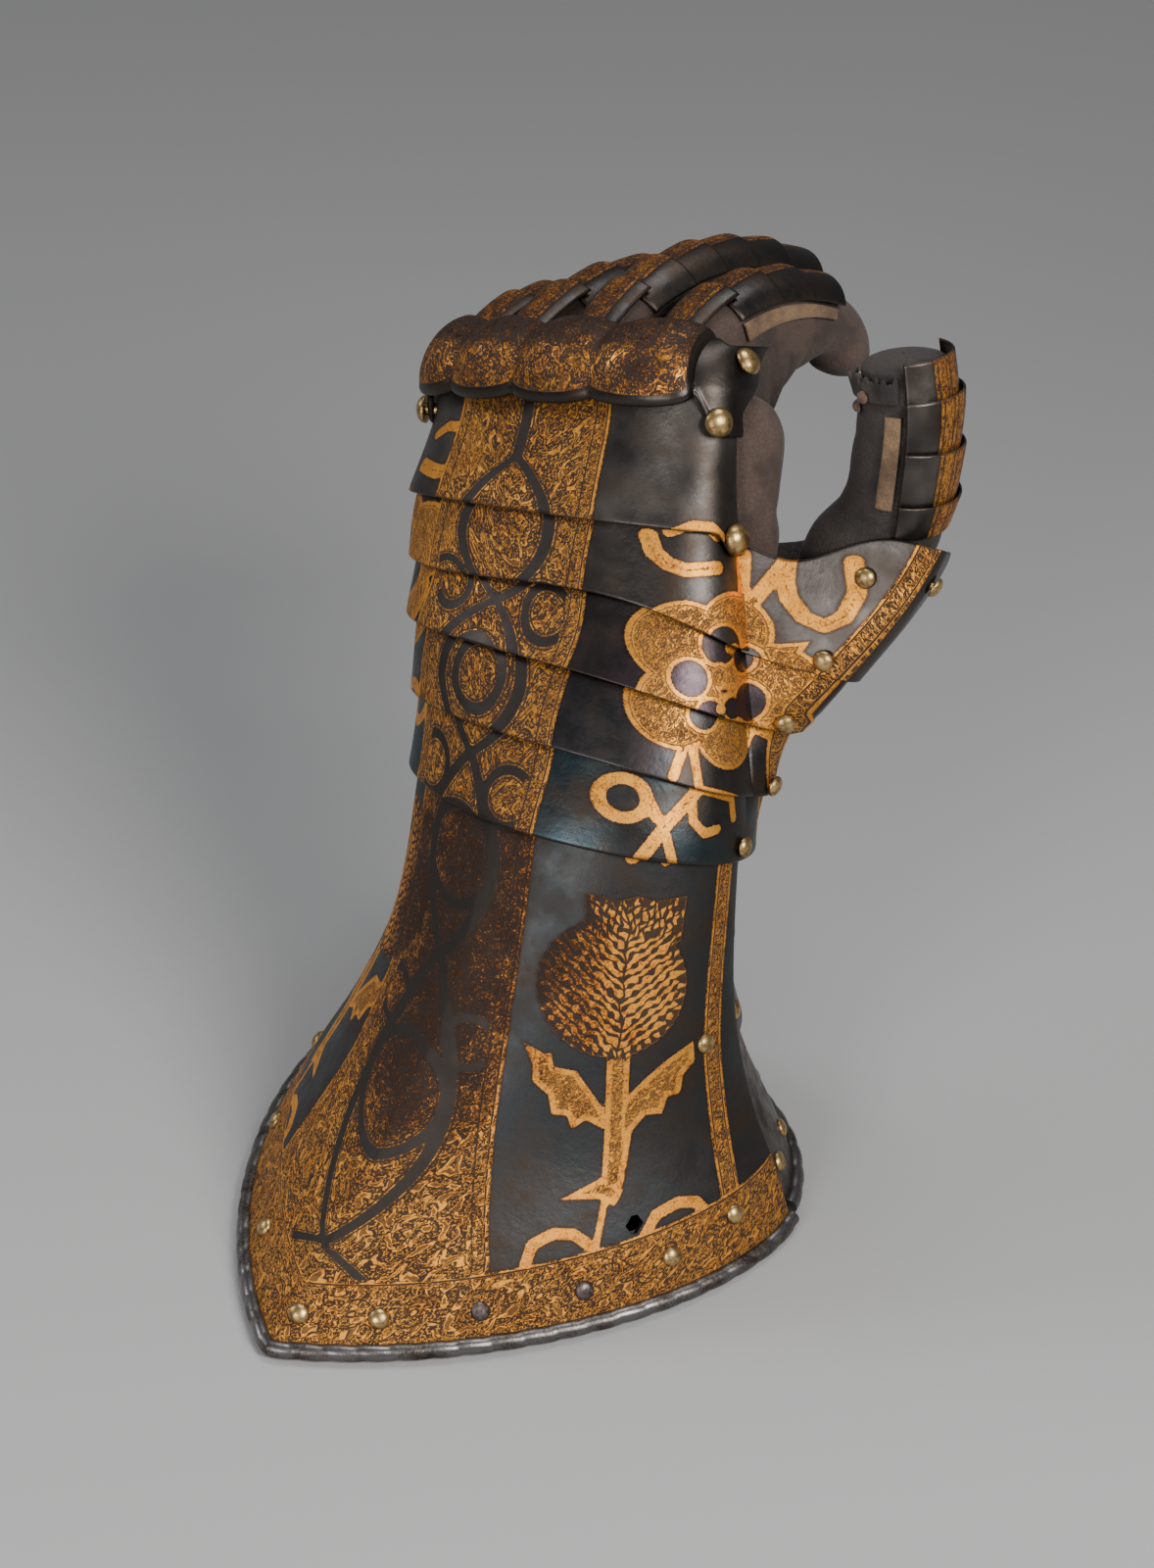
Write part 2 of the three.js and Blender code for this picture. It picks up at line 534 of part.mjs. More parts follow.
function fingerPath(finger) {
  const points = [surface(PIVOT_LEVEL, finger.angle, 0, false)
    .addScaledVector(towardPalm, 9.5).addScaledVector(alongHand, -3)];
  for (let s = 0; s < fingerReach(finger); s += FINGER_STEP) {
    const turn = fingerSlope(finger, s + FINGER_STEP / 2) * DEG;
    points.push(points[points.length - 1].clone()
      .addScaledVector(towardPalm, FINGER_STEP * Math.cos(turn))
      .addScaledVector(alongHand, FINGER_STEP * Math.sin(turn)));
  }
  return points;
}

// Points round a finger at a distance along it; angle 0 is its back, +90 the thumb side.
function fingerRing(finger, path, s, radius, angles, belly = 0) {
  const i = Math.min(s / FINGER_STEP, path.length - 1 - 1e-6);
  const k = Math.floor(i);
  const centre = path[k].clone().lerp(path[k + 1], i - k);
  const turn = fingerSlope(finger, s) * DEG;
  const up = alongHand.clone().multiplyScalar(Math.cos(turn)).addScaledVector(towardPalm, -Math.sin(turn));
  const deeper = 1 + belly / radius;
  return angles.map((angle) => centre.clone()
    .addScaledVector(acrossHand, (radius + FINGER_WIDER) * Math.sin(angle * DEG))
    .addScaledVector(up, radius * Math.cos(angle * DEG) * (Math.cos(angle * DEG) < 0 ? deeper : 1)));
}

// How far the leather under a finger fills out towards the palm, from the root to the last joint.
function fingerBelly(finger, s) {
  const { depth, end } = BELLIES[finger.name];
  return depth * smooth((s - 4) / 14) * smooth((end - s) / (end - 20));
}

const turns = (sides) => Array.from({ length: sides }, (_, n) => 360 * n / sides);

// The leather of a finger, in by `inset`, with a rounded tip.
function fingerTube(finger, inset) {
  const path = fingerPath(finger);
  const radius = finger.radius - inset;
  const body = fingerReach(finger) - finger.radius;
  const rings = spread(0, body, 7).map((s) => (
    fingerRing(finger, path, s, radius, turns(FINGER_SIDES), fingerBelly(finger, s))));
  for (const [part, scale] of [[0.7, 0.7]]) {
    rings.push(fingerRing(finger, path, body + radius * part, radius * scale, turns(FINGER_SIDES)));
  }
  return loft(rings);
}

function fingerScale(finger, index) {
  const path = fingerPath(finger);
  const pitch = (finger.length - 2) / finger.scales;
  const start = index === 0 ? FIRST_SCALE : SECOND_SCALE + pitch * index;
  const end = SECOND_SCALE + pitch * (index + 1) + SCALE_OVERLAP;
  const rows = index === 0 ? 3 : 2;
  const span = index === 0 ? FIRST_SPAN : SCALE_SPAN;
  const grid = (out) => (r, c) => {
    const part = r / (rows - 1);
    const stand = AIR + SCALE_FLARE * part + out;
    const angle = mix(-span, span, c / 6);
    return fingerRing(finger, path, mix(start, end, part), finger.radius + stand, [angle])[0];
  };
  return shell(rows, 7, grid(SCALE_STEEL), grid(0));
}

for (const finger of FINGERS) {
  for (let n = 0; n < finger.scales; n += 1) steel(`${finger.name}_scale_${n + 1}`, fingerScale(finger, n));
}

// ---------------------------------------------------------------- thumb
const thumbCurve = new THREE.CatmullRomCurve3(THUMB.map((row) => new THREE.Vector3(row.x, row.y, row.z)));
function thumbRadius(part) {
  const s = part * (THUMB.length - 1);
  const i = Math.min(Math.floor(s), THUMB.length - 2);
  return mix(THUMB[i].radius, THUMB[i + 1].radius, s - i);
}

// A point round the thumb; angle 0 faces the thumb side, -90 the back of the hand.
function thumbPoint(part, angle, stand) {
  const along = thumbCurve.getTangent(part);
  const side = new THREE.Vector3(1, 0, 0).addScaledVector(along, -along.x).normalize();
  const palm = new THREE.Vector3().crossVectors(along, side);
  const radius = thumbRadius(part) + stand;
  return thumbCurve.getPoint(part)
    .addScaledVector(side, radius * Math.cos(angle * DEG))
    .addScaledVector(palm, radius * Math.sin(angle * DEG));
}

// The leather widens at the thumb's root into a web towards the palm.
const WEB = { reach: 10, from: 0.58, over: 0.3, facing: 205 };
function thumbWeb(part, angle) {
  const toward = Math.max(0, Math.cos((angle - WEB.facing) * DEG));
  return WEB.reach * smooth((WEB.from - part) / WEB.over) * toward ** 2;
}
function thumbTube(inset) {
  const stations = [...spread(0, 0.94, 8).map((part) => [part, 0]), [0.98, 1.6], [0.995, 5]];
  const rings = stations.map(([part, narrower]) => spread(0, 315, 8)
    .map((angle) => thumbPoint(part, angle, thumbWeb(part, angle) - inset - narrower)));
  return loft(rings);
}

function thumbLame(lame) {
  const grid = (out) => (r, c) => {
    const part = r / 2;
    const stand = AIR + lame.flare * part + out;
    return thumbPoint(mix(lame.low, lame.high, part), mix(...THUMB_SPAN, c / 8), stand);
  };
  return shell(3, 9, grid(SCALE_STEEL), grid(0));
}
THUMB_LAMES.forEach((lame, n) => steel(`thumb_lame_${n + 1}`, thumbLame(lame)));

// Leather trim: a suede edging beside the index scales and one inside the thumb lames, and a torn
// flap over the thumb's tip with the knots of its thong.
const TRIM = 1.1;
function strip(rows, columns, pointAt) {
  const grid = (out) => (r, c) => pointAt(r / (rows - 1), c / (columns - 1), AIR + out);
  return shell(rows, columns, grid(TRIM), grid(0));
}
function indexEdging() {
  const finger = FINGERS.find((row) => row.name === 'index');
  const path = fingerPath(finger);
  return strip(5, 3, (u, v, out) => (
    fingerRing(finger, path, mix(30, 62, u), finger.radius + out, [mix(80, 99, v)],
      fingerBelly(finger, mix(30, 62, u)))[0]));
}
suede('index_suede_edging', indexEdging());
suede('thumb_suede_edging', strip(5, 3, (u, v, out) => thumbPoint(mix(0.56, 0.8, u), mix(-86, -58, v), out)));
leather('thumb_tip_flap', strip(4, 6, (u, v, out) => (
  thumbPoint(mix(0.84, 0.93, u), mix(-150, -62, v), out + 1.6 * u * Math.sin(3 * Math.PI * v) ** 2))));
const KNOT = { radius: 1.5, rise: 1.4, shank: 1 };
for (const [index, angle] of [-128, -104].entries()) {
  const at = mix(0.8, 0.86, index);
  const facing = thumbPoint(at, angle, 1).sub(thumbPoint(at, angle, 0)).normalize();
  add(`thumb_thong_knot_${index + 1}`, rivetBody(KNOT, thumbPoint(at, angle, AIR + (index ? 1.7 : 0)), facing, 0),
    0x7a4030, 0.8, 0);
}

// ---------------------------------------------------------------- glove
const PALM_SWELL = 8;         // how far the palm of the glove fills out between the plates
const HAND_CLEAR = 1.7;
function handBody(inset, bottom, top) {
  const swell = (angle) => PALM_SWELL * smooth((angle - 98) / 26) * smooth((241 - angle) / 26);
  const rings = spread(bottom, top, 4).map((at) => spread(0, 340, 18)
    .map((angle) => surface(at, angle, swell(angle) - HAND_CLEAR - inset, false)));
  return loft(rings);
}
function glove() {
  const outer = [handBody(0, 6.5, 9.1), ...FINGERS.map((finger) => fingerTube(finger, 0)), thumbTube(0)];
  const inner = [handBody(LEATHER, 6.4, 9.0), ...FINGERS.map((finger) => fingerTube(finger, LEATHER)), thumbTube(LEATHER)];
  return geometryFrom(solidOf(joined(outer)).subtract(solidOf(joined(inner))));
}
leather('glove', glove());

for (const rivet of rivets) brass(rivet.name, rivet.geometry);

// The origin is the middle of the whole gauntlet's box, on the floor.
const box = new THREE.Box3().setFromObject(group);
const middle = box.getCenter(new THREE.Vector3());
for (const mesh of group.children) mesh.geometry.translate(-middle.x, -middle.y, -box.min.z);

export default group;
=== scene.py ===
"""Left-hand armoured gauntlet: etched and gilt steel plates, brass rivets and a suede glove.

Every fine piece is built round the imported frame, from the same named sizes as its solids.
"""
import json

import bmesh
import bpy
import numpy as np
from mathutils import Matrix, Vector

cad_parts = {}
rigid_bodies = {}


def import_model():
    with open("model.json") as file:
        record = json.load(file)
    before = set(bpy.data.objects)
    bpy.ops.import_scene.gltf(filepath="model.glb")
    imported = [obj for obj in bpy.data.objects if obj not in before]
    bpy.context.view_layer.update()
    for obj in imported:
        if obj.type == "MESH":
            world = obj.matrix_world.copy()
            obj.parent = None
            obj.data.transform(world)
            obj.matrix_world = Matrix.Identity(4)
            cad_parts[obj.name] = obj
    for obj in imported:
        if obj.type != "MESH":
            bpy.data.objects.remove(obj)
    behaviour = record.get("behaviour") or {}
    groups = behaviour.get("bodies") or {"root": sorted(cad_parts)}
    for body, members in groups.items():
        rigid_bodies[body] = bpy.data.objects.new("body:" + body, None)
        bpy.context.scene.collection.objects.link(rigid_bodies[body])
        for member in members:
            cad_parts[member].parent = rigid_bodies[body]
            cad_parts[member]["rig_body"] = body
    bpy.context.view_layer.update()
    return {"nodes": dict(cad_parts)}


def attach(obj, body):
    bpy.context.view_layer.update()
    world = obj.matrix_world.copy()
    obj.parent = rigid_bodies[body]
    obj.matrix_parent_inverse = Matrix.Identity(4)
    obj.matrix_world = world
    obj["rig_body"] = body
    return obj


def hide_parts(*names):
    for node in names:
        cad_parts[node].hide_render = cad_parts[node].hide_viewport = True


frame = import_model()

# ---------------------------------------------------------------- driving sizes, in millimetres
MM = 0.001
ORIGIN = np.array([-8.0927, 39.0865, 0.0])  # the frame's origin in the section table's own frame
STEEL = 1.2  # thickness of the plates
LEATHER = 1.4  # thickness of the glove
AIR = 0.35  # gap between a piece and what it lies on
LAP = STEEL + AIR  # how far a plate is sunk to pass under another
RIM_OUT = 1.2  # the roped rim's centre line, out from the section curve
LAME_FLARE = 2.8  # how far a plate's foot stands off over the plate below
KNUCKLE_BEND = 13.0  # radius of the turn over the knuckles
KNUCKLE_FOOT = 6.0  # height of that turn's start above the pivot level
KNUCKLE_LEAN = 0.2
KNUCKLE_STAND = 2.6
KNUCKLE_END = np.radians(74) * KNUCKLE_BEND
FINGER_WIDER = 0.8  # how much wider than deep a finger is, to each side
SCALE_STEEL = 0.9  # thickness of the finger scales and thumb lames
SCALE_FLARE = 1.85
SCALE_SPAN = 76.0  # half the angle a scale covers, and the first scale's
FIRST_SPAN = 43.0
SCALE_OVERLAP = 2.6

SECTION_COLUMNS = ("x", "y", "z", "lean", "tilt", "half", "back", "palm", "keel", "reach", "drop")
SECTIONS = np.array([
    (0, 25, 2.2, 0, 0, 63.5, 99, 48, 0.38, 0, 0),
    (0, 26, 14, 2, 0, 59, 84, 45, 0.36, 0, 0),
    (0, 28, 34, 6, 0, 49.5, 60, 39, 0.30, 0, 0),
    (0, 31, 58, 12, 2, 43, 41, 33, 0.22, 0, 0),
    (-5, 40.6, 88, 22, 5.5, 41.5, 31, 31, 0.12, 0, 0),
    (-9, 46.6, 102, 25, 4.5, 42.5, 28, 31, 0.09, 5, -2),
    (-15, 53, 116, 27, 5, 43.5, 25, 31, 0.06, 14, -3),
    (-20, 58.4, 128.5, 27, 7, 44, 21, 31, 0.03, 29, -2),
    (-29, 67, 145.5, 27, 16, 44, 18, 31, 0, 52, 7),
    (-33.5, 76, 165, 25, 20, 43, 15, 30, 0, 60, 9),
    (-37, 80.5, 174.3, 25, 21, 42.5, 14, 29, 0, 64, 9),
])
PIVOT_LEVEL = 9.0
CORNER_FROM = 101.0  # the plates' wing round the thumb: where it leaves the section, and its corner
CORNER_PEAK = 125.0
SIDE_TURN = {"x": -0.5, "y": 0.87, "pace": 0.8, "full": 52.0}
SEAM = 104.0  # angle of the seam between the cuff's outer and inner plates


def table(keys, rows):
    """Rows of values as dictionaries with the same keys."""
    return [dict(zip(keys, row)) for row in rows]


LITTLE_END = -115  # every wrist lame ends at this angle on the little-finger side
LAMES = table(("name", "body", "low", "high", "arch", "thumb", "flare"), [
    ("wrist_lame_4", "lame_4", 4, 5.4, 0, 138, 2.2),
    ("wrist_lame_3", "lame_3", 5, 6.28, 0.2, 142, 2.7),
    ("wrist_lame_2", "lame_2", 6, 7.35, 0.3, 146, 3.3),
    ("wrist_lame_1", "hand", 7, 8.25, 0.35, 147, LAME_FLARE),
])
THUMB_NOTCH = 8.05  # level of the cut-out for the thumb
ARCH_CENTRE = 30.0

FINGERS = table(
    ("name", "angle", "dome", "boss", "radius", "length", "rise", "fall", "tip", "curl", "scales", "belly",
     "belly_end"), [
        ("little", -53, 19, 4.2, 6.1, 46, 30, -24, 12, -60, 5, 4, 40),
        ("ring", -20, 17, 4.5, 6.9, 62, 33, -14, 14, -50, 5, 5, 44),
        ("middle", 11, 17, 5, 7.2, 66, 41, -16, 14, -50, 6, 6, 46),
        ("index", 45, 22, 5, 7.5, 42, 36, -14, 24, -110, 4, 28, 76),
    ])
KNUCKLE_RUN = 10.0
KNUCKLE_TURN = 12.0
FIRST_SCALE = 17.0  # where the first and second scales start along a finger
SECOND_SCALE = 20.0

# The thumb's centre line and radius, and its lames as parts of that line with their flare.
THUMB = [(8, 78, 125, 7), (37.6, 93, 136, 9), (41, 95, 153, 11.2), (41.5, 97.5, 170, 11.6),
         (40, 101, 187, 10.8), (37, 103, 200, 9.5)]
THUMB_LAMES = [(0.485, 0.58, 1.7), (0.54, 0.71, 1.7), (0.67, 0.85, 1.7), (0.81, 0.98, 0.6)]
THUMB_SPAN = (-54.0, 80.0)
WEB = {"reach": 10.0, "from": 0.58, "over": 0.3, "facing": 205.0}  # the leather between thumb and palm

# The gilt band up the back of the hand: level, and its left and right edges in degrees.
BAND = np.array([
    (0, -36, 34), (1.1, -33, 31), (2.1, -31, 24), (3.0, -36, 18.5), (3.9, -40, 16),
    (5.5, -46, 18), (7.3, -40, 25), (8.1, -35, 31), (10, -37, 31),
])
BORDER_LANE = 5.0   # width of the lined strips at the band's edges
BORDER_HEIGHT = 17.5  # height of the gilt border above the cuff's rim


# ---------------------------------------------------------------- section surface
def column(name, at):
    """One column of the section table at fractional levels, as a smooth curve through its rows."""
    values = SECTIONS[:, SECTION_COLUMNS.index(name)]
    last = len(values) - 1
    s = np.clip(at, 0, last - 1e-9)
    i = np.floor(s).astype(int)
    u = s - i

    def p(k):
        return values[np.clip(k, 0, last)]

    m0 = (p(i + 1) - p(i - 1)) / np.where(i == 0, 1, 2)
    m1 = (p(i + 2) - p(i)) / np.where(i + 1 == last, 1, 2)
    u2, u3 = u ** 2, u ** 3
    return ((2 * u3 - 3 * u2 + 1) * p(i) + (u3 - 2 * u2 + u) * m0
            + (3 * u2 - 2 * u3) * p(i + 1) + (u3 - u2) * m1)


def smooth(u):
    u = np.clip(u, 0, 1)
    return u * u * (3 - 2 * u)


def mix(a, b, u):
    return a + (b - a) * u


def round_point(at, angle):
    """The plain section curve: half an ellipse to the palm, and a back that peaks at the keel."""
    f = np.radians(angle)
    keel = column("keel", at)
    sine, cosine = np.sin(f), np.cos(f)
    back = -column("back", at) * ((1 - keel) * cosine + keel * (1 - np.abs(sine)))
    palm = -column("palm", at) * cosine
    return column("half", at) * sine, np.where(cosine >= 0, back, palm)


def flat_point(at, angle, wing):
    """A section's curve in its own plane; `wing` adds the plates' reach round the thumb."""
    x, y = round_point(at, angle)
    if not wing:
        return x, y
    reach, drop = column("reach", at), column("drop", at)
    lift = np.clip((angle - CORNER_FROM) / (CORNER_PEAK - CORNER_FROM), 0, 1)
    px, py = round_point(at, np.full_like(angle, CORNER_PEAK))
    beyond = np.maximum(angle - CORNER_PEAK, 0) * SIDE_TURN["pace"] * reach / SIDE_TURN["full"]
    blend = smooth(reach / 20)
    side_x = mix(x, px + reach + SIDE_TURN["x"] * beyond, blend)
    side_y = mix(y, py + drop + SIDE_TURN["y"] * beyond, blend)
    past = (angle > CORNER_PEAK) & (reach >= 0.01)
    near = (angle > CORNER_FROM) & (reach >= 0.01)
    x = np.where(past, side_x, np.where(near, x + lift * reach, x))
    y = np.where(past, side_y, np.where(near, y + lift * drop, y))
    return x, y


def place(at, x, y, z=0.0):
    """Points of the section planes, in the table's frame."""
    lean, tilt = np.radians(column("lean", at)), np.radians(column("tilt", at))
    y1 = y * np.cos(lean) + z * np.sin(lean)
    z1 = -y * np.sin(lean) + z * np.cos(lean)
    x2 = x * np.cos(tilt) - z1 * np.sin(tilt)
    z2 = x * np.sin(tilt) + z1 * np.cos(tilt)
    return np.stack([x2 + column("x", at), y1 + column("y", at), z2 + column("z", at)], -1)


def spread(*values):
    """Arrays or numbers as float arrays of one shape."""
    return np.broadcast_arrays(*(np.asarray(value, float) for value in values))


def surface(at, angle, out=0.0, wing=True):
    """Points of the gauntlet's surface, out by `out` square to the section curve."""
    at, angle, out = spread(at, angle, out)
    ax, ay = flat_point(at, angle + 1.5, wing)
    bx, by = flat_point(at, angle - 1.5, wing)
    nx, ny = ay - by, bx - ax
    long = np.hypot(nx, ny)
    x, y = flat_point(at, angle, wing)
    return place(at, x + out * nx / long, y + out * ny / long)


def run_of(points):
    """Distance along a line of points, from its first."""
    return np.concatenate([[0], np.cumsum(np.linalg.norm(np.diff(points, axis=0), axis=1))])


def unit(v):
    return v / np.linalg.norm(v, axis=-1, keepdims=True)


def surface_normal(at, angle, wing=True):
    across = surface(at, angle + 1, 0, wing) - surface(at, angle - 1, 0, wing)
    up = surface(at + 0.05, angle, 0, wing) - surface(at - 0.05, angle, 0, wing)
    return unit(np.cross(across, up))


class FlatMap:
    """Distances along the surface, measured once: u round it from angle 0 and v up it from the rim."""

    def __init__(self):
        self.levels = np.arange(0, 10.01, 0.1)
        self.angles = np.arange(-120, 151, 1.0)
        at, angle = np.meshgrid(self.levels, self.angles, indexing="ij")
        points = surface(at, angle, STEEL)
        round_steps = np.linalg.norm(np.diff(points, axis=1), axis=-1)
        u = np.concatenate([np.zeros((len(self.levels), 1)), np.cumsum(round_steps, axis=1)], axis=1)
        middle = np.argmin(np.abs(self.angles))
        self.u = u - u[:, middle:middle + 1]
        up_steps = np.linalg.norm(np.diff(points, axis=0), axis=-1)
        self.v = np.concatenate([np.zeros((1, len(self.angles))), np.cumsum(up_steps, axis=0)], axis=0)

    def read(self, table, at, angle):
        r = np.clip((at - self.levels[0]) / 0.1, 0, len(self.levels) - 1.001)
        c = np.clip(angle - self.angles[0], 0, len(self.angles) - 1.001)
        i, j = np.floor(r).astype(int), np.floor(c).astype(int)
        a, b = r - i, c - j
        return ((1 - a) * (1 - b) * table[i, j] + a * (1 - b) * table[i + 1, j]
                + (1 - a) * b * table[i, j + 1] + a * b * table[i + 1, j + 1])

    def uv(self, at, angle):
        return self.read(self.u, at, angle), self.read(self.v, at, angle)


FLAT = FlatMap()


# ---------------------------------------------------------------- knuckles and fingers
def axes_at(level):
    """The three directions of a section's plane, and its origin."""
    origin, *ends = place(np.full(4, level), *np.eye(4)[1:].reshape(3, 4))
    return *(end - origin for end in ends), origin


ACROSS, TOWARD_PALM, ALONG, KNUCKLE_CENTRE = axes_at(PIVOT_LEVEL)


def dome_at(angle):
    height = np.zeros_like(np.asarray(angle, float))
    for finger in FINGERS:
        off = (angle - finger["angle"]) / finger["dome"]
        height = np.maximum(height, finger["boss"] * np.sqrt(np.maximum(0, 1 - off * off)))
    return height


def knuckle_point(angle, along, out):
    """The knuckle plate: up the back of the hand, then round the knuckles to the fingers."""
    angle, along, out = spread(angle, along, out)
    level = np.full_like(angle, PIVOT_LEVEL)
    foot = surface(level, angle, KNUCKLE_STAND, False)
    facing = unit(foot - surface(level, angle, 0, False))
    bend = np.maximum(along, 0) / KNUCKLE_BEND
    rise = KNUCKLE_FOOT + np.minimum(along, 0) + KNUCKLE_BEND * np.sin(bend)
    arch = np.sin(np.pi * np.clip((along + 6) / (KNUCKLE_END + 15), 0, 1)) ** 0.7
    lift = out + dome_at(angle) * arch
    sideways = (foot - KNUCKLE_CENTRE) @ ACROSS
    draw = -KNUCKLE_LEAN * np.maximum(rise - 8, 0) * sideways / 40
    return (foot + draw[..., None] * ACROSS + (rise + lift * np.sin(bend))[..., None] * ALONG
            + (KNUCKLE_BEND * (1 - np.cos(bend)))[..., None] * TOWARD_PALM
            + (lift * np.cos(bend))[..., None] * facing)


def finger_slope(finger, s):
    """A finger's slope in degrees, s mm along it: up, over the knuckle, along and curled at its tip."""
    turned = KNUCKLE_RUN + KNUCKLE_TURN
    stops = (KNUCKLE_RUN, turned, turned + finger["length"], finger_reach(finger))
    return np.interp(s, stops, (90.0, finger["rise"], finger["fall"], finger["curl"]))


def finger_reach(finger):
    return KNUCKLE_RUN + KNUCKLE_TURN + finger["length"] + finger["tip"]


def finger_path(finger):
    """Places along a finger's centre line, and its points there."""
    step = 0.5
    start = surface(PIVOT_LEVEL, finger["angle"], 0, False) + 9.5 * TOWARD_PALM - 3 * ALONG
    s = np.arange(0, finger_reach(finger) + step, step)
    turn = np.radians(finger_slope(finger, s + step / 2))
    moves = step * (np.cos(turn)[:, None] * TOWARD_PALM + np.sin(turn)[:, None] * ALONG)
    return s, np.concatenate([[start], start + np.cumsum(moves, axis=0)[:-1]])


def finger_belly(finger, s):
    """How far the leather under a finger fills out towards the palm."""
    end = finger["belly_end"]
    return finger["belly"] * smooth((s - 4) / 14) * smooth((end - s) / (end - 20))


def finger_point(finger, path, s, radius, angle, belly=0.0):
    """Points round a finger; angle 0 is its back and +90 its thumb side."""
    s, radius, angle, belly = spread(s, radius, angle, belly)
    at, points = path
    centre = np.stack([np.interp(s, at, points[:, k]) for k in range(3)], -1)
    turn = np.radians(finger_slope(finger, s))
    up = np.cos(turn)[..., None] * ALONG - np.sin(turn)[..., None] * TOWARD_PALM
    f = np.radians(angle)
    deep = np.where(np.cos(f) < 0, radius + belly, radius) * np.cos(f)
    return centre + ((radius + FINGER_WIDER) * np.sin(f))[..., None] * ACROSS + deep[..., None] * up


def thumb_span(a, b, c, d, u):
    """One span of a centripetal Catmull-Rom spline, from b to c."""
    gaps = [max(np.linalg.norm(q - p), 1e-6) ** 0.5 for p, q in ((a, b), (b, c), (c, d))]
    leave = ((b - a) / gaps[0] - (c - a) / (gaps[0] + gaps[1]) + (c - b) / gaps[1]) * gaps[1]
    reach = ((c - b) / gaps[1] - (d - b) / (gaps[1] + gaps[2]) + (d - c) / gaps[2]) * gaps[1]
    u = u[:, None]
    return (b + leave * u + (3 * (c - b) - 2 * leave - reach) * u ** 2
            + (2 * (b - c) + leave + reach) * u ** 3)


def thumb_line():
    """The thumb's centre line through the table's rows, at even parts from 0 to 1."""
    rows = np.array(THUMB, float)[:, :3]
    rows = np.concatenate([[2 * rows[0] - rows[1]], rows, [2 * rows[-1] - rows[-2]]])
    u = np.linspace(0, 1, 40, endpoint=False)
    spans = [thumb_span(*rows[i:i + 4], u) for i in range(len(THUMB) - 1)]
    points = np.concatenate(spans + [rows[-2:-1]])
    return np.linspace(0, 1, len(points)), points


THUMB_AT, THUMB_CENTRES = thumb_line()


def thumb_centre(part):
    return np.stack([np.interp(part, THUMB_AT, THUMB_CENTRES[:, k]) for k in range(3)], -1)


def thumb_point(part, angle, stand):
    """Points round the thumb; angle 0 faces the thumb side, -90 the back of the hand."""
    part, angle, stand = spread(part, angle, stand)
    along = unit(thumb_centre(part + 0.006) - thumb_centre(part - 0.006))
    side = unit(np.array([1.0, 0, 0]) - along * along[..., :1])
    palm = np.cross(along, side)
    radii = [row[3] for row in THUMB]
    reach = np.interp(part, np.linspace(0, 1, len(radii)), radii) + stand
    f = np.radians(angle)
    return thumb_centre(part) + (reach * np.cos(f))[..., None] * side + (reach * np.sin(f))[..., None] * palm


# ---------------------------------------------------------------- meshes
def to_frame(points):
    return (points - ORIGIN) * MM


def make_object(name, points, faces, attributes, material, body, nodes, sharp):
    """A mesh of points in millimetres, with float or vector attributes on them, riding on a body."""
    mesh = bpy.data.meshes.new(name)
    mesh.from_pydata(to_frame(points.reshape(-1, 3)).tolist(), [], faces)
    for key, values in attributes.items():
        vector = values.shape[-1] == 3
        layer = mesh.attributes.new(key, "FLOAT_VECTOR" if vector else "FLOAT", "POINT")
        layer.data.foreach_set("vector" if vector else "value", values.astype(np.float32).ravel())
    mesh.validate()
    mesh.polygons.foreach_set("use_smooth", np.ones(len(mesh.polygons), bool))
    mark_sharp(mesh, sharp)
    mesh.materials.append(material)
    obj = bpy.data.objects.new(name, mesh)
    bpy.context.scene.collection.objects.link(obj)
    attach(obj, body)
    if nodes:
        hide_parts(*nodes)
    return obj


def mark_sharp(mesh, degrees):
    """Turns every face outward and marks the edges that bend by more than this."""
    work = bmesh.new()
    work.from_mesh(mesh)
    bmesh.ops.recalc_face_normals(work, faces=work.faces)
    limit = np.radians(degrees)
    for edge in work.edges:
        if len(edge.link_faces) == 2 and edge.calc_face_angle(0) > limit:
            edge.smooth = False
    work.to_mesh(mesh)
    work.free()


def grid_quads(index):
    """Quads over a grid of point numbers, one row of faces for each step."""
    return np.stack([index[:-1, :-1], index[:-1, 1:], index[1:, 1:], index[1:, :-1]], -1)


def wall_quads(outer, inner):
    """Quads between two runs of point numbers."""
    return np.stack([outer[:-1], inner[:-1], inner[1:], outer[1:]], -1).reshape(-1, 4)


def shell_faces(rows, columns, hole=None):
    """Faces of a closed plate: an outer grid, an inner one, the walls between and those of a hole."""
    outer = np.arange(rows * columns).reshape(rows, columns)
    inner = outer + rows * columns
    keep = np.ones((rows - 1, columns - 1), bool)
    walls = [wall_quads(outer[::-1, 0], inner[::-1, 0]), wall_quads(outer[:, -1], inner[:, -1]),
             wall_quads(outer[0], inner[0]), wall_quads(outer[-1, ::-1], inner[-1, ::-1])]
    if hole:
        r0, r1, c0, c1 = hole
        keep[r0:r1, c0:c1] = False
        ring = hole_ring(hole)
        rr, cc = ring[:, 0], ring[:, 1]
        walls.append(wall_quads(outer[rr, cc], inner[rr, cc])[:, ::-1])
    return np.concatenate([grid_quads(outer)[keep], grid_quads(inner)[keep][:, ::-1], *walls]).tolist()


def hole_ring(hole):
    """Row and column of each point round a rectangular hole in a grid, back to the first."""
    r0, r1, c0, c1 = hole
    ring = [(r0, c) for c in range(c0, c1)] + [(r, c1) for r in range(r0, r1)]
    ring += [(r1, c) for c in range(c1, c0, -1)] + [(r, c0) for r in range(r1, r0, -1)]
    return np.array(ring + ring[:1])


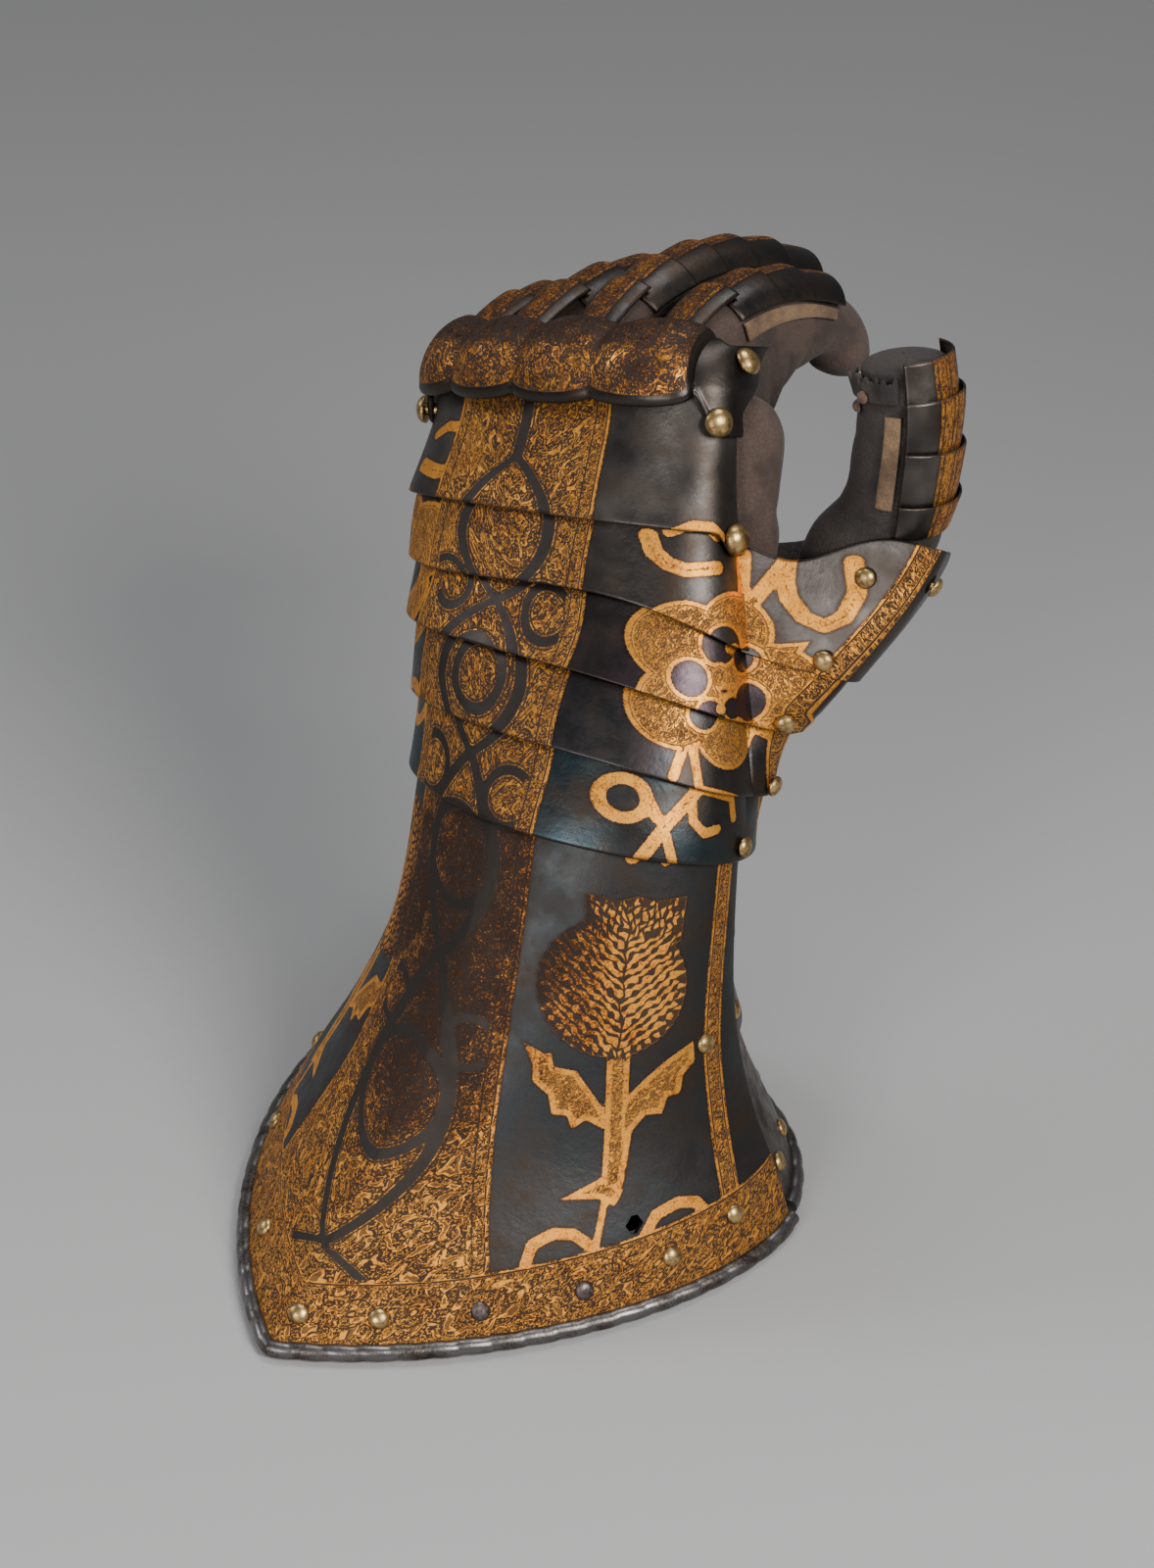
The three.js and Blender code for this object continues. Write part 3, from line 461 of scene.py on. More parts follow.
def eased(length, grain):
    """Parts 0 to 1 of a run of this length, with finer steps close to both ends for a rounded edge."""
    near = np.array([0.15, 0.4, 0.8]) / length
    start = 1.4 / length
    middle = np.linspace(start, 1 - start, max(int(length / grain), 3))
    return np.concatenate([[0], near, middle, 1 - near[::-1], [1]])


EDGE_ROUND = 0.55  # radius of a plate's rounded edge


def edge_fall(distance):
    """How far a plate's face falls away at this distance from its edge."""
    u = np.clip(distance / EDGE_ROUND, 0, 1)
    return EDGE_ROUND * (1 - np.sqrt(np.clip(1 - (1 - u) ** 2, 0, 1)))


def closed_plate(name, points_at, thickness, edge, attributes, material, body, nodes, hole=None,
                 sharp=50):
    """A plate whose points are points_at(height above its inner face), with its edges rounded."""
    fall = np.minimum(edge_fall(edge), thickness * 0.42)
    points = np.concatenate([points_at(thickness - fall).reshape(-1, 3), points_at(fall).reshape(-1, 3)])
    both = {key: np.concatenate([value.reshape(edge.size, -1)] * 2) for key, value in attributes.items()}
    both["edge"] = np.concatenate([edge.reshape(-1, 1)] * 2)
    both["inside"] = np.concatenate([np.zeros((edge.size, 1)), np.ones((edge.size, 1))])
    faces = shell_faces(*edge.shape, hole)
    return make_object(name, points, faces, both, material, body, nodes, sharp)


def sleeve(name, points_at, rows, sides, material, nodes=()):
    """A hollow sleeve of leather on the hand, open at its first ring and closed at its last."""
    index = np.arange(rows * sides).reshape(rows, sides)
    around = np.concatenate([index, index[:, :1]], axis=1)
    inner = around + rows * sides
    quads = [grid_quads(around).reshape(-1, 4), grid_quads(inner).reshape(-1, 4)[:, ::-1],
             wall_quads(around[0], inner[0])]
    faces = np.concatenate(quads).tolist()
    points = [points_at(LEATHER).reshape(-1, 3), points_at(0).reshape(-1, 3)]
    for face, ring in enumerate((around[-1], inner[-1])):
        centre = 2 * rows * sides + face
        points.append(points[face][-sides:].mean(0, keepdims=True))
        for a, b in zip(ring[:-1].tolist(), ring[1:].tolist()):
            faces.append([b, a, centre] if face else [a, b, centre])
    return make_object(name, np.concatenate(points), faces, {}, material, "hand", nodes, 180)


# ---------------------------------------------------------------- ornament, as distances in mm
NOWHERE = -9.0  # a depth well outside any shape


def disc(x, y, cx, cy, r):
    return r - np.hypot(x - cx, y - cy)


def stroke(x, y, points, width):
    """How far inside a stroke of this width along a run of points."""
    best = np.full_like(x, 99.0)
    for (ax, ay), (bx, by) in zip(points[:-1], points[1:]):
        dx, dy = bx - ax, by - ay
        t = np.clip(((x - ax) * dx + (y - ay) * dy) / (dx * dx + dy * dy), 0, 1)
        best = np.minimum(best, np.hypot(x - ax - t * dx, y - ay - t * dy))
    return width / 2 - best


def polygon(x, y, points):
    """How far inside a polygon; negative outside."""
    inside = np.zeros(x.shape, bool)
    for (ax, ay), (bx, by) in zip(points, points[1:] + points[:1]):
        crosses = (ay > y) != (by > y)
        with np.errstate(divide="ignore", invalid="ignore"):
            at = ax + (y - ay) * (bx - ax) / (by - ay if by != ay else 1e-9)
        inside ^= crosses & (x < at)
    depth = -stroke(x, y, points + points[:1], 0)
    return np.where(inside, depth, -depth)


def union(*parts):
    return np.maximum.reduce(parts)


def strokes(x, y, rows):
    return union(*(stroke(x, y, points, width) for width, points in rows))


THISTLE_LEAF = [
    (-22.6, -10), (-17.5, -12.5), (-16, -12), (-15.2, -15.3), (-10, -16), (-7, -19.8), (-3.3, -24.5),
    (-1, -30), (-3.7, -29), (-7, -27.3), (-10.3, -29.6), (-11.5, -26.5), (-15.1, -26.3), (-16, -22),
    (-19.8, -19), (-20, -15),
]
THISTLE_LEAF_RIGHT = [
    (17.4, -9), (18.2, -14), (15.5, -17), (15.2, -21.4), (12, -22), (11.1, -26), (7, -26.2), (4, -30),
    (3.2, -39), (0, -39), (1, -23), (6, -17.6), (11, -13.2),
]
THISTLE_CROWN = [(-10.9, 25.2), (-3, 24.2), (1, 25.4), (5, 24.4), (12.4, 25.8), (11.8, 15), (-10.1, 15)]
THISTLE_HOOK = [(-12.3, -45.8), (-2.5, -40.6), (2.9, -43.3), (1, -47.2), (-3, -45.4)]
THISTLE_STROKES = [
    (5.4, [(-0.7, -10), (0.2, -30), (0.2, -41)]),
    (1.7, [(-1.6, -46), (-3.3, -57.5)]),
    (2.7, [(-19.5, -60.5), (-18.2, -56), (-13.3, -53.3), (-8.5, -53.4), (-4.6, -56)]),
    (2.7, [(8.3, -54.5), (11, -49.3), (16.3, -46.8), (21, -47), (25, -51)]),
]


def thistle(x, y):
    """A thistle with its crown, stem, two toothed leaves and a cut foot; returns gilt and head."""
    turn = np.arctan2(y - 4, x + 3)
    fringe = 0.9 * np.abs(((turn * 40 / (2 * np.pi)) % 1) - 0.5)
    head = (1 - np.hypot((x + 3) / 17.4, (y - 4) / 16.6)) * 16.6 - fringe
    crown = polygon(x, y, THISTLE_CROWN)
    leaves = union(*(polygon(x, y, points) for points in (THISTLE_LEAF, THISTLE_LEAF_RIGHT, THISTLE_HOOK)))
    gilt = union(head, crown, leaves, strokes(x, y, THISTLE_STROKES))
    return gilt, union(head, crown)


ROSE_PETALS = [(-10.4, 8.4, 9.8), (-9.4, -5.6, 9.8), (3.8, -9.6, 9.0), (10.4, 1.6, 9.6), (0.8, 12.2, 9.4)]
ROSE_HOLLOWS = [
    (-8.2, 0.9, 4.0), (8.0, -2.9, 4.3), (-3.0, -6.8, 3.4), (-1.6, 9.2, 4.4), (5.8, 6.6, 3.0),
    (2.8, -4.6, 2.4),
]
ROSE_SEEDS = [(-1.2, 2.3, 3.2), (1.3, 8.8, 1.4), (3.3, 2.0, 1.2), (-0.6, -5.0, 1.3)]
ROSE_BARBS = [
    [(-11.6, 18.6), (-12.4, 14.2), (-6.4, 14.0)], [(15.6, 12.8), (10.2, 11.0), (13.6, 6.8)],
    [(18.2, -11.6), (11.4, -9.6), (14.6, -4.6)],
]
ROSE_STROKES = [
    (3.0, [(3.1, 30), (4, 19)]),
    (2.7, [(10.2, 31), (5.4, 18.3)]),
    (3.2, [(-18.7, 31.5), (-17.7, 28), (-15.2, 25.8), (-11.9, 24.9), (-4.5, 26.4)]),
    (2.4, [(-15.3, 33), (-12, 35.1), (-8, 35.3), (-5, 33.3)]),
    (3.0, [(9.8, 30), (10.2, 25), (11.2, 21.6), (13.8, 18), (17, 16.6), (19.6, 19.2), (20.6, 25), (19, 32)]),
    (2.4, [(-7, -13), (-9.3, -21.5)]),
    (2.2, [(-5.4, -14), (-3.3, -23.3)]),
    (3.0, [(-13, -41), (-8.6, -32.6), (-2.8, -24.6)]),
    (2.2, [(-6, -41), (-9.2, -33)]),
    (2.6, [(-13.4, -26.4), (-10.6, -31.4)]),
    (2.0, [(-3.3, -23.6), (2.5, -24.2), (7.6, -25), (8.8, -29.5)]),
    (2.2, [(-3.2, -26.4), (-2.6, -31), (0.6, -33.6), (4, -32.2)]),
]


def rose(x, y):
    """A five-petalled rose with barbs, stalks and loose ribbons; returns gilt and petals."""
    outer, hollow, seeds = (union(*(disc(x, y, *row) for row in rows))
                            for rows in (ROSE_PETALS, ROSE_HOLLOWS, ROSE_SEEDS))
    petals = np.minimum(outer, -hollow)
    ring = 1.35 - np.abs(np.hypot(x + 17.4, y + 27.8) - 4.4)
    barbs = union(*(polygon(x, y, points) for points in ROSE_BARBS))
    return union(petals, seeds, ring, strokes(x, y, ROSE_STROKES), barbs), petals


def local_plane(at, angle, points):
    """Coordinates of points in the tangent plane at a place on the surface, and their depth."""
    origin = surface(at, angle, 2)
    across = unit(surface(at, angle + 1, 2) - surface(at, angle - 1, 2))
    up = surface(at + 0.1, angle, 2) - surface(at - 0.1, angle, 2)
    normal = unit(np.cross(across, up))
    up = np.cross(normal, across)
    off = points - origin
    return off @ across, off @ up, off @ normal


ROSE_PLACE = {"at": 6.6, "angle": 80.0}
THISTLE_PLACE = {"at": 3.1, "angle": 52.0}
THISTLE_HEAD, PLAIN_MOTIF, ROSE_PETAL = -1.0, 1.0, 2.0  # kinds of engraving; 0 is the band's own foliage


def motifs(at, angle, points):
    """Gilt depth of the rose and thistle on both sides, and local coordinates for their engraving."""
    gilt, engraved = np.full_like(at, NOWHERE), np.zeros(at.shape + (3,))
    for side in (1, -1):
        for spot, draw, kind in ((THISTLE_PLACE, thistle, THISTLE_HEAD), (ROSE_PLACE, rose, ROSE_PETAL)):
            x, y, depth = local_plane(spot["at"], side * spot["angle"], points)
            shape, inner = draw(side * x, y)
            ok = (np.abs(depth) < 24) & (side * angle > 5)
            gilt = np.where(ok, np.maximum(gilt, shape), gilt)
            hit = ok & (shape > -1.5)
            engraved[hit] = np.stack([side * x, y, np.where(inner > -0.6, kind, PLAIN_MOTIF)], -1)[hit]
    return gilt, engraved


def band_measure(at, angle):
    """Distance inside the median band, and its own coordinates: across from its middle, and up."""
    left, right = (np.interp(at, BAND[:, 0], BAND[:, side]) for side in (1, 2))
    u, _ = FLAT.uv(at, angle)
    u_left, _ = FLAT.uv(at, left)
    u_right, v_mid = FLAT.uv(at, right)
    depth = np.minimum(u - u_left, u_right - u)
    middle = (u_left + u_right) / 2
    return depth, u - middle, v_mid, (u_right - u_left) / 2


STRAP = 1.35  # half a strap's width
CROSSINGS = (-14, 22, 90, 137, 170, 205)  # heights where the two straps of the band cross
RINGS = ((56, 13.5), (114, 11.5), (154, 7.5))  # height and radius of the rings between them


def straps(x, y, half):
    """Plain dark straps that weave up the band, with a ring in each of the spaces between them."""
    phase = np.pi * np.interp(y, CROSSINGS, range(len(CROSSINGS)))
    sway = 0.92 * (half - BORDER_LANE) * np.sin(phase)
    sway = np.sign(sway) * np.abs(sway) ** 0.85 * 1.15
    first, second = STRAP - np.abs(x - sway) * 0.8, STRAP - np.abs(x + sway) * 0.8
    rings = union(*(STRAP - np.abs(np.hypot(x, y - up) - r) for up, r in RINGS))
    aside = np.abs(x) - half * 0.62
    spurs = union(*(STRAP * 0.8 - np.abs(np.hypot(aside, y - up - 17) - 6) for up, _ in RINGS))
    return union(first, second, rings, np.where(half > 16, spurs, NOWHERE))


CUFF_STRIPS = np.array([(0, 83), (1.2, 83), (1.9, 85), (2.7, 86.5), (3.5, 91), (4.4, 94)])  # level, angle


def add_strip(gold, lane, off):
    return union(gold, off), np.where(off > 0, off, lane)


def cuff_trim(at, u, v, gold, lane, weave):
    """Adds the cuff's two side strips, and the border with its roundels along the rim."""
    strip_angle = np.interp(at, *CUFF_STRIPS.T)
    for side in (1, -1):
        middle, _ = FLAT.uv(at, side * strip_angle)
        gold, lane = add_strip(gold, lane, 2.9 - np.abs(u - middle))
    border = np.minimum(v - 1.0, BORDER_HEIGHT - v)
    roundel = np.hypot((u + 7) % 14 - 7, (v - 9.5) * 1.05)
    trimmed = np.where(border < 2.4, border + 0.25, np.where(roundel < 4.6, roundel, NOWHERE))
    return union(gold, border), np.where(border > 0, trimmed, lane), np.where(border > -0.5, NOWHERE, weave)


def marks(gold, strap, lane, worn, u, v, motif):
    """The attributes that gilt_steel reads: four depths, flat coordinates and the motif's own."""
    return {
        "gold": np.clip(gold, -5, 8), "strap": np.clip(strap, -5, 5), "lane": lane, "worn": worn,
        "flat": np.stack([u, v, np.zeros_like(u)], -1), "motif": motif,
    }


def plain_marks(gold, lane, worn, u, v):
    """The same for a plate with neither straps nor motifs."""
    gold, lane, worn, u, v = spread(gold, lane, worn, u, v)
    return marks(gold, np.full_like(u, -5), lane, worn, u, v, np.zeros(u.shape + (3,)))


def ornament(at, angle, points, cuff=False):
    """Attributes of the gilt on the plates of the back: the band, its straps, the strips and the motifs."""
    u, v = FLAT.uv(at, angle)
    inside, across, up, half = band_measure(at, angle)
    gilt, engraved = motifs(at, angle, points)
    weave = np.where(inside > BORDER_LANE - 0.6, straps(across, up, half), NOWHERE)
    lane = np.where((inside > 0) & (inside < BORDER_LANE), inside, NOWHERE)
    gold = union(gilt, inside)
    if cuff:
        gold, lane, weave = cuff_trim(at, u, v, gold, lane, weave)
    else:
        peak, _ = FLAT.uv(at, np.full_like(at, CORNER_PEAK))
        off = 3.0 - np.abs(u - peak + 3.0)
        gold, lane = add_strip(gold, lane, np.where(angle > 60, off, NOWHERE))
    ridge = np.exp(-((u + 2) / 22) ** 2)
    worn = ridge * (smooth((v - 34) / 34) * 1.15 if cuff else 0.25)
    thistle_left = (engraved[..., 2] == THISTLE_HEAD) * smooth((-engraved[..., 0] - 1) / 9)
    return marks(gold, weave, lane, worn + 0.55 * thistle_left, u, v, engraved)


# ---------------------------------------------------------------- materials
class Net:
    """A material's nodes, with short calls for the sums that the finishes share. Lengths in mm."""

    def __init__(self, name):
        self.material = bpy.data.materials.new(name)
        self.material.use_nodes = True
        self.nodes = self.material.node_tree.nodes
        self.links = self.material.node_tree.links
        self.shader = self.nodes["Principled BSDF"]
        coords = self.nodes.new("ShaderNodeTexCoord")
        scale = self.nodes.new("ShaderNodeVectorMath")
        scale.operation = "SCALE"
        scale.inputs["Scale"].default_value = 1000
        self.links.new(coords.outputs["Object"], scale.inputs[0])
        self.place = scale.outputs[0]

    def feed(self, socket, value):
        if isinstance(value, bpy.types.NodeSocket):
            self.links.new(value, socket)
        elif isinstance(value, tuple) and socket.type == "RGBA":
            socket.default_value = (*value, 1)
        else:
            socket.default_value = value

    def attribute(self, name, output="Fac"):
        node = self.nodes.new("ShaderNodeAttribute")
        node.attribute_name = name
        return node.outputs[output]

    def math(self, operation, a, b=0.0, c=0.0):
        node = self.nodes.new("ShaderNodeMath")
        node.operation = operation
        for socket, value in zip(node.inputs, (a, b, c)):
            self.feed(socket, value)
        return node.outputs[0]

    def vector(self, operation, a, b):
        node = self.nodes.new("ShaderNodeVectorMath")
        node.operation = operation
        self.feed(node.inputs[0], a)
        self.feed(node.inputs["Scale"] if operation == "SCALE" else node.inputs[1], b)
        return node.outputs["Value" if operation == "LENGTH" else "Vector"]

    def parts(self, vector):
        node = self.nodes.new("ShaderNodeSeparateXYZ")
        self.links.new(vector, node.inputs[0])
        return node.outputs

    def step(self, value, low, high, start=0.0, end=1.0):
        node = self.nodes.new("ShaderNodeMapRange")
        node.interpolation_type = "SMOOTHSTEP"
        names = ("Value", "From Min", "From Max", "To Min", "To Max")
        for name, part in zip(names, (value, low, high, start, end)):
            self.feed(node.inputs[name], part)
        return node.outputs["Result"]

    def mix(self, part, a, b):
        node = self.nodes.new("ShaderNodeMix")
        node.data_type = "RGBA"
        self.feed(node.inputs[0], part)
        self.feed(node.inputs[6], a)
        self.feed(node.inputs[7], b)
        return node.outputs[2]

    def texture(self, kind, vector, size, **inputs):
        """A texture over a vector, its features of this size."""
        node = self.nodes.new("ShaderNodeTex" + kind)
        self.links.new(vector, node.inputs["Vector"])
        node.inputs["Scale"].default_value = 1 / size
        for name, value in inputs.items():
            node.inputs[name].default_value = value
        return node

    def noise(self, size, detail, rough, vector=None):
        node = self.texture("Noise", vector or self.place, size, Detail=detail, Roughness=rough)
        return node.outputs["Fac"]

    def bent(self, vector, size, reach):
        """A vector pushed about by noise of this size, by up to about half the reach."""
        colour = self.texture("Noise", vector, size, Detail=1.0).outputs["Color"]
        push = self.vector("SCALE", self.vector("SUBTRACT", colour, (0.5, 0.5, 0.5)), reach * 2)
        return self.vector("ADD", vector, self.vector("MULTIPLY", push, (1.0, 1.0, 0.0)))

    def crackle(self, size):
        """Distance to the nearest border between cells of this size."""
        node = self.texture("Voronoi", self.place, size, Randomness=0.8)
        node.feature = "DISTANCE_TO_EDGE"
        return node.outputs["Distance"]

    def most(self, *values):
        """The largest of several values."""
        best = values[0]
        for value in values[1:]:
            best = self.math("MAXIMUM", best, value)
        return best

    def times(self, a, b):
        return self.math("MULTIPLY", a, b)

    def madd(self, a, b, c):
        return self.math("MULTIPLY_ADD", a, b, c)

    def blend(self, part, a, b):
        """Number a where the part is 0 and number b where it is 1."""
        return self.madd(part, self.math("SUBTRACT", b, a), a)

    def less(self, value):
        """One minus a value."""
        return self.math("SUBTRACT", 1.0, value)

    def line(self, value, at, half):
        """1 within `half` of a value, soft at its sides."""
        off = self.math("ABSOLUTE", self.math("SUBTRACT", value, at))
        return self.step(off, half * 1.25, half * 0.7)

    def bump(self, height, strength):
        node = self.nodes.new("ShaderNodeBump")
        node.inputs["Strength"].default_value = strength
        node.inputs["Distance"].default_value = MM
        self.links.new(height, node.inputs["Height"])
        self.links.new(node.outputs["Normal"], self.shader.inputs["Normal"])

    def finish(self, colour, roughness, metallic, **constants):
        self.feed(self.shader.inputs["Base Color"], colour)
        self.feed(self.shader.inputs["Roughness"], roughness)
        self.feed(self.shader.inputs["Metallic"], metallic)
        for name, value in constants.items():
            self.shader.inputs[name.replace("_", " ")].default_value = value
        return self.material


GILT = (0.72, 0.315, 0.046)
GILT_DEEP = (0.34, 0.118, 0.020)
RUSSET = (0.036, 0.021, 0.015)
ETCHED = (0.016, 0.010, 0.008)
INSIDE_STEEL = (0.045, 0.032, 0.025)
SPECKLED_STEEL = (0.13, 0.12, 0.115)
STRAP_STEEL = (0.042, 0.035, 0.031)
DARK_STEEL = (0.040, 0.036, 0.034)
BROWN_STEEL = (0.045, 0.032, 0.024)
FOLIAGE = {"size": 12.0, "pitch": 3.6, "grain": 0.55}
SMALL_FOLIAGE = {"size": 5.6, "pitch": 2.3, "grain": 0.42}


def scrolls(net, flat, size, pitch, grain):
    """Foliage scrolls: lobed leaves coiling round the middle of each cell, on a grained dark ground."""
    bent = net.bent(net.bent(flat, size * 0.5, size * 0.30), size * 0.16, size * 0.09)
    cell = net.texture("Voronoi", bent, size, Randomness=0.9)
    cell.voronoi_dimensions = "2D"
    local = net.vector("SUBTRACT", bent, cell.outputs["Position"])
    x, y, _ = net.parts(local)
    far_out = net.vector("LENGTH", local, (0, 0, 0))
    turn = net.math("ARCTAN2", y, x)
    tone = net.parts(cell.outputs["Color"])
    hand = net.math("SUBTRACT", net.times(net.math("GREATER_THAN", tone[0], 0.5), 2), 1)
    coil = net.madd(far_out, 2 * np.pi / pitch, net.times(turn, hand))
    coil = net.madd(tone[1], 6.3, coil)
    lobes = net.math("SINE", net.madd(turn, 7, net.times(far_out, 7.5 / pitch)))
    leaf = net.madd(lobes, 0.6, net.math("SINE", coil))
    outline = net.line(leaf, 0.22, 0.20)
    vein = net.times(net.step(leaf, 1.02, 1.22), 0.8)
    ground = net.step(leaf, 0.25, 0.05)
    grained = net.step(net.noise(grain, 1.0, 0.5, flat), 0.40, 0.50, 0.25, 1.0)
    return net.most(outline, vein, net.times(ground, grained))


def thistle_cut(net, x, y, gold):
    """The cut lines of a thistle head: feathered leaves either side of a rib, a spiked edge and a crown."""
    bent = net.bent(net.attribute("motif", "Vector"), 3.2, 1.5)
    bx, by, _ = net.parts(bent)
    off = net.math("ABSOLUTE", net.math("ADD", bx, 1.0))
    rows = net.madd(off, -0.8, by)
    feather = net.math("SINE", net.madd(off, 2.7, net.times(rows, 1.1)))
    leaf = net.madd(feather, 0.55, net.math("SINE", net.times(rows, 2 * np.pi / 2.3)))
    turn = net.math("ARCTAN2", net.math("SUBTRACT", y, 4.0), net.math("ADD", x, 3.0))
    spikes = net.madd(gold, 0.75, net.math("SINE", net.times(turn, 38)))
    fringe = net.math("SINE", net.times(bx, 2 * np.pi / 1.5))
    crown = net.times(net.step(y, 14.5, 17.0), net.step(fringe, 0.1, 0.6))
    return net.most(net.step(leaf, 0.0, 0.45), net.line(off, 0.0, 0.3), crown, net.step(spikes, 0.9, 0.5))


def engraving(net, foliage, small, gold):
    """Cut lines everywhere: foliage on the band, and the thistle, rose and ribbons each in their own way."""
    x, y, kind = net.parts(net.attribute("motif", "Vector"))
    in_rose = net.step(kind, 1.5, 1.6, 0.0, 0.7)
    petal_line = net.times(net.line(gold, 1.05, 0.15), in_rose)
    within = net.times(small, net.step(gold, 1.2, 1.6, 0.0, 0.85))
    cut = net.blend(net.math("GREATER_THAN", kind, 0.5), foliage, net.most(petal_line, within))
    return net.blend(net.math("LESS_THAN", kind, -0.5), cut, thistle_cut(net, x, y, gold))


def laid_gold(net, gold, strap, inside, fine, grit):
    """Depth inside the gold's ragged edge, where straps leave the steel bare, and where gold is laid."""
    ragged = net.madd(net.math("SUBTRACT", fine, 0.5), 0.8, gold)
    bare = net.step(net.madd(net.math("SUBTRACT", grit, 0.5), 0.3, strap), -0.1, 0.1)
    bare = net.times(bare, net.step(strap, -4.9, -4.8))
    laid = net.times(net.step(ragged, -0.1, 0.16), net.less(bare))
    return ragged, bare, net.times(laid, net.less(inside))


def cut_lines(net, ragged, strap, laid, lined):
    """The engraver's lines in the gold: foliage or fine streaks, and lines along lanes and straps."""
    flat, lane = net.attribute("flat", "Vector"), net.attribute("lane")
    small = scrolls(net, flat, **SMALL_FOLIAGE)
    if lined:
        streaks = net.noise(0.62, 3, 0.65, net.vector("MULTIPLY", flat, (1.6, 0.30, 1.0)))
        cut = in_lane = net.most(net.step(streaks, 0.50, 0.58), net.times(small, 0.25))
    else:
        cut = engraving(net, scrolls(net, flat, **FOLIAGE), small, ragged)
        in_lane = net.times(small, net.step(lane, 1.1, 1.4))
    in_lane = net.most(net.line(lane, 1.0, 0.22), net.line(lane, 3.9, 0.22), in_lane)
    cut = net.blend(net.step(lane, -0.2, 0.0), cut, in_lane)
    return net.times(net.most(cut, net.line(strap, -0.5, 0.2)), laid)


def wear(net, cloud, fine, flecks, grit, worn):
    """Where the gilding is rubbed thin, and where it is gone."""
    rubbed = net.madd(cloud, 0.22, net.times(fine, 0.60))
    rubbed = net.madd(flecks, 0.33, net.madd(grit, 0.25, rubbed))
    rubbed = net.math("ADD", rubbed, net.madd(net.attribute("worn"), 0.22, worn))
    return net.step(rubbed, 0.66, 0.84), net.step(rubbed, 0.80, 0.90)


def gilt_steel(name, tint_and_painted_highlight=(0.05, 0.05, 0.05), tinted=0.0, worn=0.0, lined=False, dull=0.0):
    """Dark blued steel, etched and fire-gilt where the `gold` attribute is above nought."""
    net = Net(name)
    gold, strap, edge, inside = (net.attribute(key) for key in ("gold", "strap", "edge", "inside"))
    fine, grit = net.noise(0.55, 4, 0.6), net.noise(0.28, 2, 0.7)
    cloud, patch, flecks = net.noise(9, 4, 0.6), net.noise(24, 3, 0.55), net.noise(2.4, 3, 0.6)
    ragged, bare, laid = laid_gold(net, gold, strap, inside, fine, grit)
    cut = cut_lines(net, ragged, strap, laid, lined)
    thin, gone = wear(net, cloud, fine, flecks, grit, worn)

    steel = net.mix(net.step(cloud, 0.42, 0.68), DARK_STEEL, BROWN_STEEL)
    steel = net.mix(net.step(grit, 0.62, 0.78, 0, 0.5), steel, SPECKLED_STEEL)
    # Patches of the tint colour: real bluing on the lames; where the tint is pale, as on the hand and thumb
    # steel, it is partly a painted highlight.
    steel = net.mix(net.times(net.step(patch, 0.35, 0.65), tinted), steel, tint_and_painted_highlight)
    steel = net.mix(bare, steel, STRAP_STEEL)
    gilding = net.mix(thin, GILT, GILT_DEEP)
    gilding = net.mix(net.times(gone, 0.92), gilding, RUSSET)
    colour = net.mix(laid, steel, gilding)
    colour = net.mix(net.times(cut, net.step(gone, 1.0, 0.0, 0.85, 0.96)), colour, ETCHED)
    halo = net.times(net.step(ragged, -0.75, -0.1), net.less(laid))
    halo = net.times(halo, net.step(strap, 0.3, -0.5))
    colour = net.mix(net.times(halo, 0.6), colour, RUSSET)
    edge_wear = net.step(net.madd(fine, 0.9, edge), 1.02, 0.55)
    colour = net.mix(net.times(edge_wear, 0.75), colour, BROWN_STEEL)
    colour = net.mix(inside, colour, INSIDE_STEEL)

    height = net.times(laid, 0.05)
    height = net.madd(cut, -0.13, height)
    height = net.madd(net.noise(1.1, 4, 0.65), 0.05, height)
    height = net.madd(cloud, 0.25, height)
    net.bump(height, 0.8)
    rough = net.step(cloud, 0.3, 0.7, 0.31 + dull, 0.46 + dull)
    rough = net.madd(bare, 0.12, rough)
    rough = net.madd(laid, 0.10, rough)
    rough = net.madd(cut, 0.2, rough)
    metallic = net.madd(cut, -0.5, 0.92)
    return net.finish(colour, rough, metallic)


def plain_metal(name, base, dirt, rough, patch):
    """Bare metal with soft dirt, small pits and dull patches."""
    net = Net(name)
    cloud, fine = net.noise(patch, 4, 0.6), net.noise(0.6, 4, 0.65)
    colour = net.mix(net.step(net.madd(fine, 0.5, cloud), 0.62, 0.95), base, dirt)
    height = net.madd(fine, 0.06, net.times(cloud, 0.12))
    net.bump(height, 0.7)
    return net.finish(colour, net.step(cloud, 0.3, 0.7, *rough), 0.95)


def hide(name, base, dark, pale, grain=0.9, shine=(0.62, 0.85), sheen=0.15):
    """Leather or suede: a fine grain, creases, rubbed pale places and dark stains."""
    net = Net(name)
    cloud, fine = net.noise(11, 4, 0.6), net.noise(grain, 4, 0.7)
    crease = net.step(net.crackle(grain * 2.2), 0.10, 0.0)
    colour = net.mix(net.step(cloud, 0.38, 0.66), base, dark)
    colour = net.mix(net.step(fine, 0.55, 0.75, 0, 0.5), colour, pale)
    colour = net.mix(net.times(crease, 0.35), colour, dark)
    height = net.madd(crease, -0.08, net.times(fine, 0.12))
    height = net.madd(net.noise(4.5, 3, 0.6), 0.5, height)
    net.bump(height, 0.8)
    rough = net.step(cloud, 0.3, 0.7, *shine)
    return net.finish(colour, rough, 0.0, Sheen_Weight=sheen, Sheen_Roughness=0.5)


# ---------------------------------------------------------------- plates of the back of the hand
def edge_distance(part, tall, across, width):
    """How far points are from a plate's nearest edge, from their parts of its height and width."""
    return np.minimum(np.minimum(part, 1 - part) * tall, np.minimum(across, 1 - across) * width)


